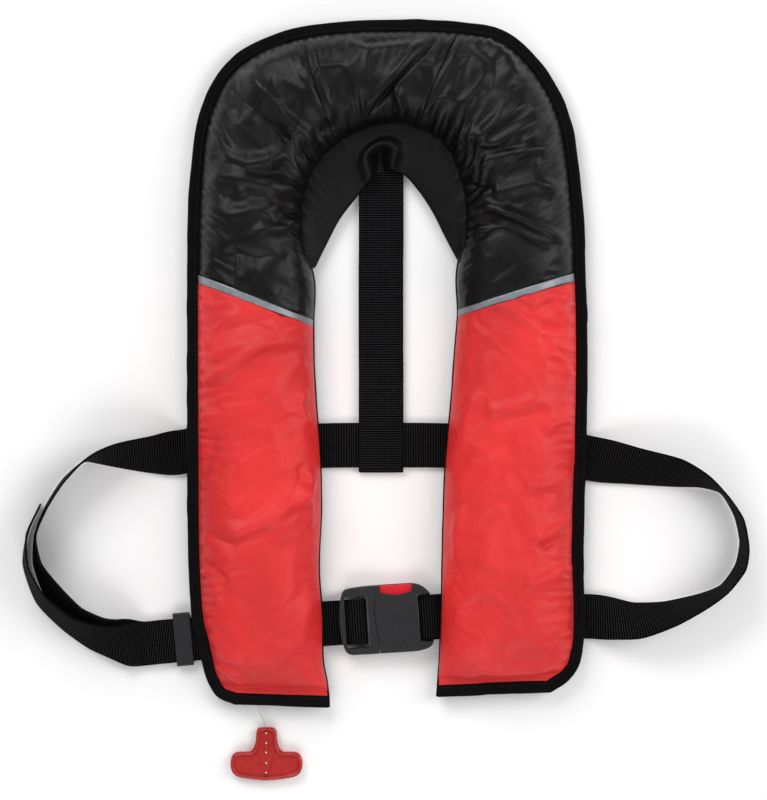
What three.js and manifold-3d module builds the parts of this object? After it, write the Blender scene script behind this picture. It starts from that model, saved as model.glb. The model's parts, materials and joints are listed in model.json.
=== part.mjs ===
// Inflatable life jacket, packed, lying on its back with the front facing up.
// Units are millimetres. +X is across the chest, +Y runs toward the neck, +Z points up off the floor.
// The origin is on the floor under the middle of the jacket, cord and pull handle left out.
import * as THREE from "three";
import { mergeVertices } from "three/addons/utils/BufferGeometryUtils.js";
import Module from "manifold-3d";

const wasm = await Module();
wasm.setup();

// ---- driving dimensions ----

const GAP = 0.3; // clearance between neighbouring solids
const WEBBING_WIDTH = 40;
const WEBBING_THICKNESS = 1.8;
const BELT_Z = 3.0; // middle of the lower webbing layer
const TAIL_Z = BELT_Z + WEBBING_THICKNESS + GAP; // middle of the upper webbing layer
const TUNNEL_FABRIC = 0.8;
const TUNNEL_HEIGHT = 6.2;
const TUNNEL_Z = 4.05; // middle of a belt tunnel
const BACK_COVER_Z = 7.5; // underside of the back panel
const BACK_COVER_THICKNESS = 1.2;
const COVER_BASE = BACK_COVER_Z + BACK_COVER_THICKNESS + GAP; // front cover's inner hem
const CLOSURE_THICKNESS = 0.6;
const CLOSURE_WIDTH = 16;
const HOOK_Z = COVER_BASE;
const LOOP_Z = HOOK_Z + CLOSURE_THICKNESS + GAP;
const BINDING_Z = LOOP_Z + CLOSURE_THICKNESS + GAP; // underside of the folded binding tape
const BINDING_FABRIC = 0.8;
const BINDING_WIDTH = 10.5;
const COVER_FABRIC = 1.2;
const FLANGE_Z = BINDING_Z + BINDING_FABRIC + GAP; // front cover's outer flange inside the binding
const BINDING_HEIGHT = 2 * (BINDING_FABRIC + GAP) + COVER_FABRIC;
const FLANGE_WIDTH = 11.4; // flat flange outside the puffed part of the cover
const HEM_FLANGE = 17; // flat hem across the bottom of each lobe
const FLANGE_INSET = BINDING_FABRIC + GAP;
const CROWN = 38; // height of the puffed cover above its hem
const CROWN_ROUND = 42; // distance over which the puffed cover rounds over
const BAND_HALF_WIDTH_IN_RIBS = 0.085;
const SEAM_GAP_IN_RIBS = 0.01;

const CYLINDER_RADIUS = 12.5;
const CYLINDER_LENGTH = 118;
const INFLATOR_X = -110;
const INFLATOR_Z = 30.5;
const HEAD_TOP_Y = -208;
const HEAD_LENGTH = 36;

const ORAL_X = 102;
const ORAL_Z = 34;
const ORAL_TOP_Y = -62;
const ORAL_LENGTH = 118;
const ORAL_RADIUS = 6.5;

const BUCKLE_CENTRE = [0.8, -225.4];
const BUCKLE_TURN = THREE.MathUtils.degToRad(3.5);
const BUCKLE_WIDTH = 60;
const BUCKLE_THICKNESS = 13;

const CORD_DIAMETER = 1.5;
const CORD_Z = 9.85; // the cord slips out between the back panel and the binding

// ---- materials ----

function material(color, roughness, metalness = 0) {
  return () => new THREE.MeshStandardMaterial({ color, roughness, metalness });
}

const redNylon = material(0xe53b3d, 0.45);
const blackNylon = material(0x232324, 0.4);
const tapeBlack = material(0x121012, 0.85);
const neoprene = material(0x151515, 0.9);
const reflective = material(0x868c94, 0.35);
const webbing = material(0x131313, 0.8);
const buckleBlack = material(0x343537, 0.5);
const buttonRed = material(0xd0313e, 0.4);
const handleRed = material(0xb4382a, 0.45);
const cordWhite = material(0xdbdada, 0.8);
const bladderYellow = material(0xf2c21a, 0.6);
const inflatorGrey = material(0x3c3f42, 0.5);
const steel = material(0xc8ccd0, 0.25, 1);
const springSteel = material(0xa8adb2, 0.3, 1);
const leverYellow = material(0xf0d020, 0.45);
const indicatorGreen = material(0x2fae4e, 0.4);
const rubberBlack = material(0x1c1c1e, 0.9);
const whistleOrange = material(0xf06a1c, 0.4);
const bobbinWhite = material(0xf0efe8, 0.8);

// ---- general shape tools ----

const v3 = (x, y, z) => new THREE.Vector3(x, y, z);
const v2 = (x, y) => new THREE.Vector2(x, y);

// A closed body from rings of equal length: each ring is a loop of points, and the ends are capped.
function loftRings(rings) {
  const n = rings[0].length;
  const positions = rings.flat().flatMap((p) => [p.x, p.y, p.z]);
  const index = [];
  for (let i = 0; i + 1 < rings.length; i++) {
    for (let k = 0; k < n; k++) {
      const a = i * n + k;
      const b = i * n + ((k + 1) % n);
      index.push(a, b, b + n, a, b + n, a + n);
    }
  }
  const capEnds = (ring, offset, flip) => {
    const flat = flatten(ring);
    for (const [a, b, c] of THREE.ShapeUtils.triangulateShape(flat, [])) {
      if (flip) index.push(offset + a, offset + c, offset + b);
      else index.push(offset + a, offset + b, offset + c);
    }
  };
  capEnds(rings[0], 0, true);
  capEnds(rings.at(-1), (rings.length - 1) * n, false);
  return outward(positions, index);
}

// Projects a nearly flat ring of points onto its own plane, for triangulation.
function flatten(ring) {
  const origin = ring[0];
  const normal = v3(0, 0, 0);
  ring.forEach((p, k) => {
    const q = ring[(k + 1) % ring.length];
    normal.add(p.clone().sub(origin).cross(q.clone().sub(origin)));
  });
  normal.normalize();
  const u = ring[1].clone().sub(origin).normalize();
  const v = normal.clone().cross(u);
  return ring.map((p) => v2(p.clone().sub(origin).dot(u), p.clone().sub(origin).dot(v)));
}

// Builds a geometry, turned inside out where needed so that its faces point outward.
function outward(positions, index) {
  let volume = 0;
  const at = (k) => v3(positions[3 * k], positions[3 * k + 1], positions[3 * k + 2]);
  for (let i = 0; i < index.length; i += 3) {
    volume += at(index[i]).dot(at(index[i + 1]).cross(at(index[i + 2])));
  }
  const faces = volume > 0 ? index : index.map((_, i) => index[3 * Math.floor(i / 3) + 2 - (i % 3)]);
  const geometry = new THREE.BufferGeometry();
  geometry.setAttribute("position", new THREE.Float32BufferAttribute(positions, 3));
  geometry.setIndex(faces);
  geometry.computeVertexNormals();
  return geometry;
}

// A closed sheet with thickness: top and bottom are grids of points of the same size.
function gridShell(top, bottom) {
  const rows = top.length;
  const columns = top[0].length;
  const positions = [...top.flat(), ...bottom.flat()].flatMap((p) => [p.x, p.y, p.z]);
  const T = (i, j) => i * columns + j;
  const B = (i, j) => rows * columns + T(i, j);
  const index = [];
  const quad = (a, b, c, d) => index.push(a, b, c, a, c, d);
  for (let i = 0; i + 1 < rows; i++) {
    for (let j = 0; j + 1 < columns; j++) {
      quad(T(i, j), T(i, j + 1), T(i + 1, j + 1), T(i + 1, j));
      quad(B(i, j), B(i + 1, j), B(i + 1, j + 1), B(i, j + 1));
    }
    quad(T(i, 0), T(i + 1, 0), B(i + 1, 0), B(i, 0));
    quad(T(i, columns - 1), B(i, columns - 1), B(i + 1, columns - 1), T(i + 1, columns - 1));
  }
  for (let j = 0; j + 1 < columns; j++) {
    quad(T(0, j), B(0, j), B(0, j + 1), T(0, j + 1));
    quad(T(rows - 1, j), T(rows - 1, j + 1), B(rows - 1, j + 1), B(rows - 1, j));
  }
  return outward(positions, index);
}

// A flat outline extruded upward from zLow to zHigh.
function plate(points, zLow, zHigh, holes = []) {
  const shape = points instanceof THREE.Shape ? points : new THREE.Shape(points);
  shape.holes.push(...holes);
  const geometry = new THREE.ExtrudeGeometry(shape, {
    depth: zHigh - zLow,
    bevelEnabled: false,
    curveSegments: 5,
  });
  return geometry.translate(0, 0, zLow);
}

function block(x0, x1, y0, y1, z0, z1) {
  const geometry = new THREE.BoxGeometry(x1 - x0, y1 - y0, z1 - z0);
  return geometry.translate((x0 + x1) / 2, (y0 + y1) / 2, (z0 + z1) / 2);
}

// A solid of revolution standing along +Y, from [radius, y] pairs; a bored one closes on itself.
function turned(profile, segments = 16) {
  const points = profile.map(([r, y]) => v2(r, y));
  if (THREE.ShapeUtils.isClockWise(points)) points.reverse();
  return new THREE.LatheGeometry(points, segments);
}

function ringProfile(inner, outer, y0, y1) {
  return [[inner, y0], [outer, y0], [outer, y1], [inner, y1], [inner, y0]];
}

function rodProfile(radius, y0, y1) {
  return [[0, y0], [radius, y0], [radius, y1], [0, y1]];
}

function toManifold(geometry) {
  const bare = geometry.clone();
  bare.deleteAttribute("normal");
  if (bare.getAttribute("uv")) bare.deleteAttribute("uv");
  const merged = mergeVertices(bare, 1e-3);
  const mesh = new wasm.Mesh({
    numProp: 3,
    vertProperties: new Float32Array(merged.attributes.position.array),
    triVerts: new Uint32Array(merged.index.array),
  });
  return new wasm.Manifold(mesh);
}

function fromManifold(solid) {
  const mesh = solid.getMesh();
  const geometry = new THREE.BufferGeometry();
  geometry.setAttribute("position", new THREE.Float32BufferAttribute(mesh.vertProperties, 3));
  geometry.setIndex(Array.from(mesh.triVerts));
  geometry.computeVertexNormals();
  return geometry;
}

// A body with pieces cut away, then pieces joined on.
function carve(body, cuts, joins = []) {
  let solid = toManifold(body);
  for (const cut of cuts) solid = solid.subtract(toManifold(cut));
  for (const join of joins) solid = solid.add(toManifold(join));
  return fromManifold(solid);
}

// A rectangle with rounded corners, as a shape or as a hole.
function roundedRectangle(Kind, x0, y0, x1, y1, r) {
  const path = new Kind();
  path.moveTo(x0 + r, y0);
  path.lineTo(x1 - r, y0);
  path.absarc(x1 - r, y0 + r, r, -Math.PI / 2, 0);
  path.absarc(x1 - r, y1 - r, r, 0, Math.PI / 2);
  path.absarc(x0 + r, y1 - r, r, Math.PI / 2, Math.PI);
  path.absarc(x0 + r, y0 + r, r, Math.PI, 1.5 * Math.PI);
  return path;
}

// ---- outline of the jacket: ribs across the U, each from its inner edge to its outer edge ----

const RIBS = [
  [-49, -303.5, -132, -301],
  [-49.5, -293, -147, -294],
  [-51, -281, -156, -280],
  [-54.5, -262, -162, -258],
  [-55, -225, -169.5, -222],
  [-58, -180, -172.5, -178],
  [-56, -130, -173.5, -130],
  [-57, -80, -173.8, -75],
  [-60.5, -35, -173.8, -20],
  [-62.5, 2, -173.8, 38],
  [-62.9, 36, -173.8, 79],
  [-62, 72, -173, 125],
  [-71, 109, -170.5, 172],
  [-71, 140, -162.4, 223.5],
  [-61.2, 171.6, -139.5, 265.8],
  [-40.9, 193.6, -95, 292],
  [-20.7, 205.5, -41, 302.5],
  [5.7, 212, 10, 304.5],
  [31.2, 207.6, 58, 303.5],
  [53.2, 193.6, 107, 294.5],
  [66.5, 168, 139.5, 265.8],
  [72, 143, 163.2, 223.5],
  [72.6, 117, 173, 172],
  [65.6, 80, 177.5, 122],
  [66.5, 45, 178.8, 80],
  [63.8, 10, 180.3, 34],
  [61, -30, 180.3, -25],
  [56, -85, 179.3, -80],
  [54, -130, 177.5, -130],
  [53, -175, 176.8, -175],
  [52, -220, 177.8, -220],
  [51, -248, 176.8, -248],
  [50, -266, 173, -266],
  [49, -282, 163, -280],
  [48, -294, 148, -290],
];
const LAST_RIB = RIBS.length - 1;
const LEFT_BAND_RIB = 10;
const RIGHT_BAND_RIB = 24;
const LEFT_YOKE_SEAM_RIB = 15.2;
const RIGHT_YOKE_SEAM_RIB = 18.1;
const HEM_RIBS = 6; // ribs over which the cover rises from its bottom hem
const COLLAR_START_RIB = 11.3;
const COLLAR_END_RIB = 22.75;

const innerCurve = new THREE.CatmullRomCurve3(RIBS.map(([x, y]) => v3(x, y, 0)));
const outerCurve = new THREE.CatmullRomCurve3(RIBS.map((rib) => v3(rib[2], rib[3], 0)));
const innerAt = (rib) => innerCurve.getPoint(rib / LAST_RIB);
const outerAt = (rib) => outerCurve.getPoint(rib / LAST_RIB);

function steps(from, to, count) {
  return Array.from({ length: count + 1 }, (_, i) => from + ((to - from) * i) / count);
}

// Ribs at which the outline is sampled: half steps where it bends, whole steps where it is straight.
const bends = (rib) => rib < 4 || (rib > 11 && rib < 23) || rib > 30;
const RIB_SAMPLES = steps(0, LAST_RIB, 2 * LAST_RIB).filter((r) => Number.isInteger(r) || bends(r));

function ribsBetween(from, to) {
  const margin = 0.15;
  return [from, ...RIB_SAMPLES.filter((r) => r > from + margin && r < to - margin), to];
}

// Shortest distance from a point to the jacket's outer edge.
const outerLine = RIB_SAMPLES.map(outerAt);
function distanceToEdge(point) {
  const nearest = v3(0, 0, 0);
  const distances = outerLine.slice(1).map((end, k) => {
    new THREE.Line3(outerLine[k], end).closestPointToPoint(point, true, nearest);
    return nearest.distanceTo(point);
  });
  return Math.min(...distances);
}

// How far in along a rib its distance to the outer edge reaches an inset; ribs may cross at a slant.
function insetAlong(rib, inset) {
  const outer = outerAt(rib);
  const inward = innerAt(rib).sub(outer).normalize();
  let along = inset;
  while (along < 25 && distanceToEdge(outer.clone().addScaledVector(inward, along)) < inset) {
    along += 0.25;
  }
  return along;
}

const flangeAlong = (rib) => insetAlong(rib, FLANGE_WIDTH);

// Height of a puffed surface from how far a point is from its hems: a quarter circle, then flat.
function puff(distance) {
  const x = THREE.MathUtils.clamp(distance / CROWN_ROUND, 0, 1);
  return Math.sqrt(1 - (1 - x) ** 2);
}

// Distance from the nearer bottom hem's flange to a point on a rib.
function hemDistance(rib, point) {
  const end = rib < LAST_RIB / 2 ? 0 : LAST_RIB;
  if (Math.abs(rib - end) > HEM_RIBS) return Infinity;
  const inner = innerAt(end);
  const along = outerAt(end).sub(inner).normalize();
  const offset = point.clone().sub(inner);
  return Math.abs(along.x * offset.y - along.y * offset.x) - HEM_FLANGE;
}

// The point on the cover across a rib: distance is measured from the inner edge.
function coverPoint(rib, distance, lift = 0) {
  const inner = innerAt(rib);
  const outer = outerAt(rib);
  const width = inner.distanceTo(outer);
  const crest = width - flangeAlong(rib);
  const point = inner.clone().lerp(outer, distance / width);
  const toHem = hemDistance(rib, point);
  const onFlange = Math.max((2 * distance) / crest, 1 - toHem / CROWN_ROUND);
  const base = THREE.MathUtils.lerp(COVER_BASE, FLANGE_Z, Math.min(onFlange, 1));
  const toFlange = Math.min(crest - distance, distanceToEdge(point) - FLANGE_WIDTH);
  const rise = puff(distance) * puff(toFlange) * puff(toHem);
  point.z = base + CROWN * rise + lift;
  return point;
}

// Where the section points fall across a rib, measured from its inner edge.
function sectionDistances(rib) {
  const width = innerAt(rib).distanceTo(outerAt(rib));
  const crest = width - flangeAlong(rib);
  const rounding = [0, 2, 6, 13, 24];
  return [...rounding, crest / 2, ...rounding.map((d) => crest - d).reverse(),
    width - insetAlong(rib, FLANGE_INSET + 0.1)];
}

// A cover panel between two ribs. Its underside follows its top, a fabric thickness lower.
function coverPanel(from, to) {
  const ribs = ribsBetween(from, to);
  const top = ribs.map((rib) => sectionDistances(rib).map((d) => coverPoint(rib, d, COVER_FABRIC)));
  const bottom = ribs.map((rib) => sectionDistances(rib).map((d, k, all) => {
    const onWall = k > 0 && k < all.length - 2;
    const shift = onWall ? COVER_FABRIC * (k < all.length / 2 - 1 ? 0.8 : -0.8) : 0;
    return coverPoint(rib, d + shift).setZ(coverPoint(rib, d).z);
  }));
  return gridShell(top, bottom);
}

// A strip that follows the outer edge: section gives [inset from the edge, z] pairs in order.
function edgeStrip(ribs, section, withHems) {
  const inward = (rib) => innerAt(rib).sub(outerAt(rib)).normalize();
  const spine = ribs.map((rib) => {
    const before = outerAt(Math.max(rib - 0.05, 0));
    const after = outerAt(Math.min(rib + 0.05, LAST_RIB));
    const tangent = after.sub(before).normalize();
    const side = v3(-tangent.y, tangent.x, 0);
    return { at: outerAt(rib), side: side.dot(inward(rib)) > 0 ? side : side.negate() };
  });
  if (withHems) {
    spine.unshift(hemCorner(0, 1));
    spine.push(hemCorner(LAST_RIB, -1));
  }
  return loftRings(spine.map(({ at, side }) => section.map(([inset, z]) => {
    const p = at.clone().addScaledVector(side, inset);
    return v3(p.x, p.y, z);
  })));
}

// The inner end of a bottom hem, where the binding stops.
function hemCorner(rib, direction) {
  const inner = innerAt(rib);
  const along = outerAt(rib).sub(inner).normalize();
  return { at: inner, side: v3(along.y, -along.x, 0).multiplyScalar(direction) };
}

// ---- parts ----

const jacket = new THREE.Group();
jacket.name = "inflatable_life_jacket";

function add(name, geometry, makeMaterial, parent = jacket) {
  const mesh = new THREE.Mesh(geometry, makeMaterial());
  mesh.name = name;
  parent.add(mesh);
  return mesh;
}

// Cover and collar.

function backCover() {
  const inner = RIB_SAMPLES.map(innerAt);
  const outer = RIB_SAMPLES.map(outerAt).reverse();
  const outline = [...inner, ...outer].map((p) => v2(p.x, p.y));
  return plate(outline, BACK_COVER_Z, BACK_COVER_Z + BACK_COVER_THICKNESS);
}

add("back_cover", backCover(), blackNylon);

const seamed = (from, to) => coverPanel(from + SEAM_GAP_IN_RIBS, to - SEAM_GAP_IN_RIBS);
const leftBand = [LEFT_BAND_RIB - BAND_HALF_WIDTH_IN_RIBS, LEFT_BAND_RIB + BAND_HALF_WIDTH_IN_RIBS];
const rightBand = [RIGHT_BAND_RIB - BAND_HALF_WIDTH_IN_RIBS, RIGHT_BAND_RIB + BAND_HALF_WIDTH_IN_RIBS];
const lowestRib = 0.18;

add("front_cover_left", coverPanel(lowestRib, leftBand[0] - SEAM_GAP_IN_RIBS), redNylon);
add("reflective_band_left", coverPanel(...leftBand), reflective);
add("yoke_left", seamed(leftBand[1], LEFT_YOKE_SEAM_RIB), blackNylon);
add("yoke_back", seamed(LEFT_YOKE_SEAM_RIB, RIGHT_YOKE_SEAM_RIB), blackNylon);
add("yoke_right", seamed(RIGHT_YOKE_SEAM_RIB, rightBand[0]), blackNylon);
add("reflective_band_right", coverPanel(...rightBand), reflective);
add("front_cover_right", coverPanel(rightBand[1] + SEAM_GAP_IN_RIBS, LAST_RIB - lowestRib), redNylon);

// Tape folded over the outer edge: a channel that holds the cover's flange.
const bindingTop = BINDING_Z + BINDING_HEIGHT;
const bindingSection = [
  [0, BINDING_Z],
  [0, bindingTop],
  [BINDING_WIDTH, bindingTop],
  [BINDING_WIDTH, bindingTop - BINDING_FABRIC],
  [BINDING_FABRIC, bindingTop - BINDING_FABRIC],
  [BINDING_FABRIC, BINDING_Z + BINDING_FABRIC],
  [BINDING_WIDTH, BINDING_Z + BINDING_FABRIC],
  [BINDING_WIDTH, BINDING_Z],
];
add("edge_binding", edgeStrip(RIB_SAMPLES, bindingSection, true), tapeBlack);

// Hook tape on the back panel and loop tape on the front cover, pressed together along each side.
const CLOSURE_RIBS = { left: ribsBetween(3, 15), right: ribsBetween(19, 31) };
for (const [side, ribs] of Object.entries(CLOSURE_RIBS)) {
  for (const [kind, z] of [["hook", HOOK_Z], ["loop", LOOP_Z]]) {
    const near = 1.5;
    const far = near + CLOSURE_WIDTH;
    const section = [[near, z], [near, z + CLOSURE_THICKNESS], [far, z + CLOSURE_THICKNESS], [far, z]];
    add(`closure_${kind}_${side}`, edgeStrip(ribs, section, false), tapeBlack);
  }
}

// The collar's free edge, round the neck opening.
const collarEdge = new THREE.CatmullRomCurve3([
  v3(-60, 86, 0),
  v3(-49.7, 107, 0),
  v3(-38.3, 128.5, 0),
  v3(-25, 146, 0),
  v3(-11, 163, 0),
  v3(3, 172, 0),
  v3(17, 168, 0),
  v3(31, 153, 0),
  v3(43, 135, 0),
  v3(54, 113, 0),
  v3(64, 94, 0),
]);

function neckCollar() {
  const rows = 18;
  const seamHeight = 11;
  const edgeHeight = 4;
  const top = [];
  const bottom = [];
  steps(0, 1, rows).forEach((t) => {
    const rib = COLLAR_START_RIB + (COLLAR_END_RIB - COLLAR_START_RIB) * t;
    const edge = collarEdge.getPoint(t);
    const seam = innerAt(rib);
    const across = seam.clone().sub(edge).normalize();
    seam.addScaledVector(across, -1);
    const columns = [0, 0.12, 0.5, 1].map((s) => edge.clone().lerp(seam, s));
    const heights = [edgeHeight - 2, edgeHeight, (edgeHeight + seamHeight) / 2, seamHeight];
    top.push(columns.map((p, k) => p.clone().setZ(BACK_COVER_Z + heights[k])));
    bottom.push(columns.map((p) => p.clone().setZ(BACK_COVER_Z)));
  });
  return gridShell(top, bottom);
}

add("neck_collar", neckCollar(), neoprene);

const PAD_TOP = BELT_Z + WEBBING_THICKNESS / 2;
const neckPadShape = roundedRectangle(THREE.Shape, -88, 206, 84, 288, 30);
add("neck_pad", plate(neckPadShape, 0, PAD_TOP), neoprene);

// Belt tunnels: flat fabric sleeves across the back of each lobe.

// A section drawn in the YZ plane, as (y, z) points, and extruded along X.
function alongX(shape, x0, x1) {
  const geometry = new THREE.ExtrudeGeometry(shape, {
    depth: x1 - x0,
    bevelEnabled: false,
    curveSegments: 2,
  });
  const basis = new THREE.Matrix4().makeBasis(v3(0, 1, 0), v3(0, 0, 1), v3(1, 0, 0));
  return geometry.applyMatrix4(basis).translate(x0, 0, 0);
}

const TUNNEL_WIDTH = 52;
const TUNNELS = {
  tunnel_upper_left: [-150, -82, -74.5],
  tunnel_lower_left: [-143, -83, -232.5],
  tunnel_upper_right: [82, 156, -76.3],
  tunnel_lower_right: [82, 156, -224],
};
for (const [name, [x0, x1, y]] of Object.entries(TUNNELS)) {
  const half = TUNNEL_WIDTH / 2;
  const z0 = TUNNEL_Z - TUNNEL_HEIGHT / 2;
  const z1 = z0 + TUNNEL_HEIGHT;
  const f = TUNNEL_FABRIC;
  const sleeve = roundedRectangle(THREE.Shape, y - half, z0, y + half, z1, 2.6);
  sleeve.holes.push(roundedRectangle(THREE.Path, y - half + f, z0 + f, y + half - f, z1 - f, 1.8));
  add(name, alongX(sleeve, x0, x1), blackNylon);
}

// Harness.

// The strap down the back, with its end turned round the waist belt and sewn to itself.
function backStrap() {
  const top = TAIL_Z + WEBBING_THICKNESS / 2;
  const under = TAIL_Z - WEBBING_THICKNESS / 2;
  const neckEnd = 200;
  const patchTop = -18;
  const patchEnd = -45;
  const loopStart = -49;
  const loopEnd = -92.2;
  const middle = top / 2;
  const shape = new THREE.Shape();
  shape.moveTo(neckEnd, under);
  shape.lineTo(neckEnd, top);
  shape.lineTo(loopEnd, top);
  shape.absarc(loopEnd, middle, middle, Math.PI / 2, 1.5 * Math.PI, false);
  shape.lineTo(loopStart, 0);
  shape.lineTo(patchEnd, under - WEBBING_THICKNESS);
  shape.lineTo(patchTop, under - WEBBING_THICKNESS);
  shape.lineTo(patchTop, under);
  const slot = new THREE.Path();
  slot.moveTo(loopStart - 1, under);
  slot.lineTo(loopEnd, under);
  slot.absarc(loopEnd, middle, under - middle, Math.PI / 2, 1.5 * Math.PI, false);
  slot.lineTo(loopStart - 1, 2 * middle - under);
  shape.holes.push(slot);
  return alongX(shape, -22.2, 17.8);
}

add("back_strap", backStrap(), webbing);

// A webbing ribbon. Each station is the two edges of its middle surface, a and b.
function ribbon(stations, divisions) {
  const curveA = new THREE.CatmullRomCurve3(stations.map(([a]) => a), false, "catmullrom", 0.35);
  const curveB = new THREE.CatmullRomCurve3(stations.map(([, b]) => b), false, "catmullrom", 0.35);
  const middle = (t) => curveA.getPoint(t).add(curveB.getPoint(t)).multiplyScalar(0.5);
  const step = 0.25 / stations.length;
  const rings = steps(0, 1, (stations.length - 1) * divisions).map((t) => {
    const a = curveA.getPoint(t);
    const b = curveB.getPoint(t);
    const ahead = middle(Math.min(t + step, 1)).sub(middle(Math.max(t - step, 0)));
    const normal = b.clone().sub(a).cross(ahead).setLength(WEBBING_THICKNESS / 2);
    return [
      a.clone().add(normal),
      b.clone().add(normal),
      b.clone().sub(normal),
      a.clone().sub(normal),
    ];
  });
  return loftRings(rings);
}

const flatStation = (ax, ay, bx, by, z) => [v3(ax, ay, z), v3(bx, by, z)];

// Edge b rests near the floor and edge a stands above it, as high as the webbing's width allows.
function tiltedStation(ax, ay, bx, by, low) {
  const reach = Math.hypot(ax - bx, ay - by);
  const rise = Math.sqrt(Math.max(WEBBING_WIDTH ** 2 - reach ** 2, 0));
  return [v3(ax, ay, low + rise), v3(bx, by, low)];
}

const EDGE_LOW = 1.2; // lower edge of webbing that stands on edge

// Across the buckle, straps follow the buckle's own turned axes.
const buckleAxis = v3(Math.cos(BUCKLE_TURN), Math.sin(BUCKLE_TURN), 0);
const buckleSide = v3(-Math.sin(BUCKLE_TURN), Math.cos(BUCKLE_TURN), 0);
function buckleStation(u, z, v, flip) {
  const middle = v3(...BUCKLE_CENTRE, z).addScaledVector(buckleAxis, u).addScaledVector(buckleSide, v);
  const half = buckleSide.clone().multiplyScalar(((flip ? -1 : 1) * WEBBING_WIDTH) / 2);
  return [middle.clone().add(half), middle.clone().sub(half)];
}

const STRAP_V = -1.2; // the straps sit a little off the buckle's centre line

// Sewn end, round the buckle body's bar, then back along the floor.
const buckleWrap = [
  [72, TAIL_Z + 0.05],
  [58, TAIL_Z + 0.05],
  [51, TAIL_Z + 0.1],
  [46, 8.3],
  [41, 9.4],
  [34.6, 8.4],
  [31.4, 6],
  [34.2, 3.5],
  [41, BELT_Z],
  [56, BELT_Z],
].map(([u, z]) => buckleStation(u, z, STRAP_V, true));

const rightLoop = [
  flatStation(150, -243.3, 150, -203.3, BELT_Z),
  flatStation(184, -243.5, 184, -203.5, BELT_Z),
  tiltedStation(204, -243.5, 202, -206, EDGE_LOW + 1.5),
  tiltedStation(228, -241.5, 222, -211, EDGE_LOW),
  tiltedStation(258, -229.5, 248, -210.5, EDGE_LOW),
  tiltedStation(286, -213, 279, -204, EDGE_LOW),
  tiltedStation(303, -199.5, 299, -196, EDGE_LOW),
  tiltedStation(317, -181, 312, -178, EDGE_LOW),
  tiltedStation(320, -162, 316, -157, EDGE_LOW),
  tiltedStation(315.5, -137, 311, -134, EDGE_LOW),
  tiltedStation(302.5, -117, 299, -114, EDGE_LOW),
  tiltedStation(285, -98, 280, -109, EDGE_LOW),
  tiltedStation(262, -83.7, 255, -108.5, EDGE_LOW),
  tiltedStation(225, -73.7, 216, -106.3, EDGE_LOW + 1),
  flatStation(188, -64.2, 180, -103.2, BELT_Z),
  flatStation(172, -60.5, 164, -99.5, BELT_Z),
];

const acrossBack = [
  flatStation(150, -57.5, 146, -97.3, BELT_Z),
  flatStation(60, -52.1, 60, -92.1, BELT_Z),
  flatStation(-60, -52.1, -60, -92.1, BELT_Z),
  flatStation(-160, -55.3, -159, -95.3, BELT_Z),
  flatStation(-182, -58.3, -180, -98, BELT_Z),
];

const leftLoop = [
  tiltedStation(-205, -63.3, -203, -97, EDGE_LOW + 1),
  tiltedStation(-235, -70.2, -236, -91.5, EDGE_LOW),
  tiltedStation(-252, -77.5, -254, -87.8, EDGE_LOW),
  tiltedStation(-264.5, -87, -266, -86.5, EDGE_LOW),
  tiltedStation(-281, -105, -284, -102, EDGE_LOW),
  tiltedStation(-295, -127, -299, -125, EDGE_LOW),
  tiltedStation(-304.5, -151, -309, -150, EDGE_LOW),
  tiltedStation(-299.6, -175, -310.5, -177, EDGE_LOW),
  tiltedStation(-285, -194, -301, -204, EDGE_LOW),
  tiltedStation(-265, -214, -281, -227, EDGE_LOW),
  tiltedStation(-246, -223, -257, -246, EDGE_LOW),
  tiltedStation(-235, -224.5, -242, -253, EDGE_LOW),
  [v3(-222, -227, 9), v3(-227, -263.5, 2.6)],
];

const keeperRun = (z) => [
  flatStation(-212, -228, -216, -267.5, z),
  flatStation(-196, -226.5, -200, -266, z),
  flatStation(-176, -224.5, -180, -264.3, z),
  flatStation(-156.5, -222.5, -160.5, -262.3, z),
];

add("waist_belt", ribbon([...buckleWrap, ...rightLoop, ...acrossBack, ...leftLoop,
  ...keeperRun(BELT_Z)], 2), webbing);

// The free end of the webbing, doubled back over the belt and out along the outside of the loop.
const tailRun = [
  [v3(-222, -229, 18), v3(-226, -266.5, 9)],
  tiltedStation(-234, -230, -242, -260.5, EDGE_LOW + 6),
  tiltedStation(-252, -229.5, -262, -251.5, EDGE_LOW),
  tiltedStation(-273, -222.5, -286, -234, EDGE_LOW),
  tiltedStation(-297, -203, -308, -211, EDGE_LOW),
  tiltedStation(-311, -178, -319.4, -178, EDGE_LOW),
  tiltedStation(-312.5, -150, -315.5, -149, EDGE_LOW),
  tiltedStation(-301, -125, -304, -123.5, EDGE_LOW),
];
add("belt_tail", ribbon([...keeperRun(TAIL_Z + 0.05).reverse(), ...tailRun], 2), webbing);

// Webbing at the tongue: two layers along the floor, joined by a turn round the ladder bar.
const STRAP_END_U = -137;
const tongueWrap = [
  [STRAP_END_U, TAIL_Z + 0.05],
  [-90, TAIL_Z + 0.05],
  [-42, TAIL_Z + 0.05],
  [-36, TAIL_Z + 0.1],
  [-31, 7.2],
  [-27, 9.5],
  [-22, 10.5],
  [-17.5, 9.2],
  [-16.2, 6.7],
  [-18, 4.2],
  [-24, BELT_Z],
  [-42, BELT_Z],
  [-90, BELT_Z],
  [STRAP_END_U, BELT_Z],
].map(([u, z]) => buckleStation(u, z, STRAP_V, false));
add("front_strap", ribbon(tongueWrap, 1), webbing);

// The tail keeper, a flat plastic slide that holds both layers together.
const KEEPER_CENTRE = [-177.4, -243.6];
const KEEPER_TURN = Math.atan2(2, 22);
const KEEPER_LENGTH = 14.7;
const KEEPER_WIDTH = 47;

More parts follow.
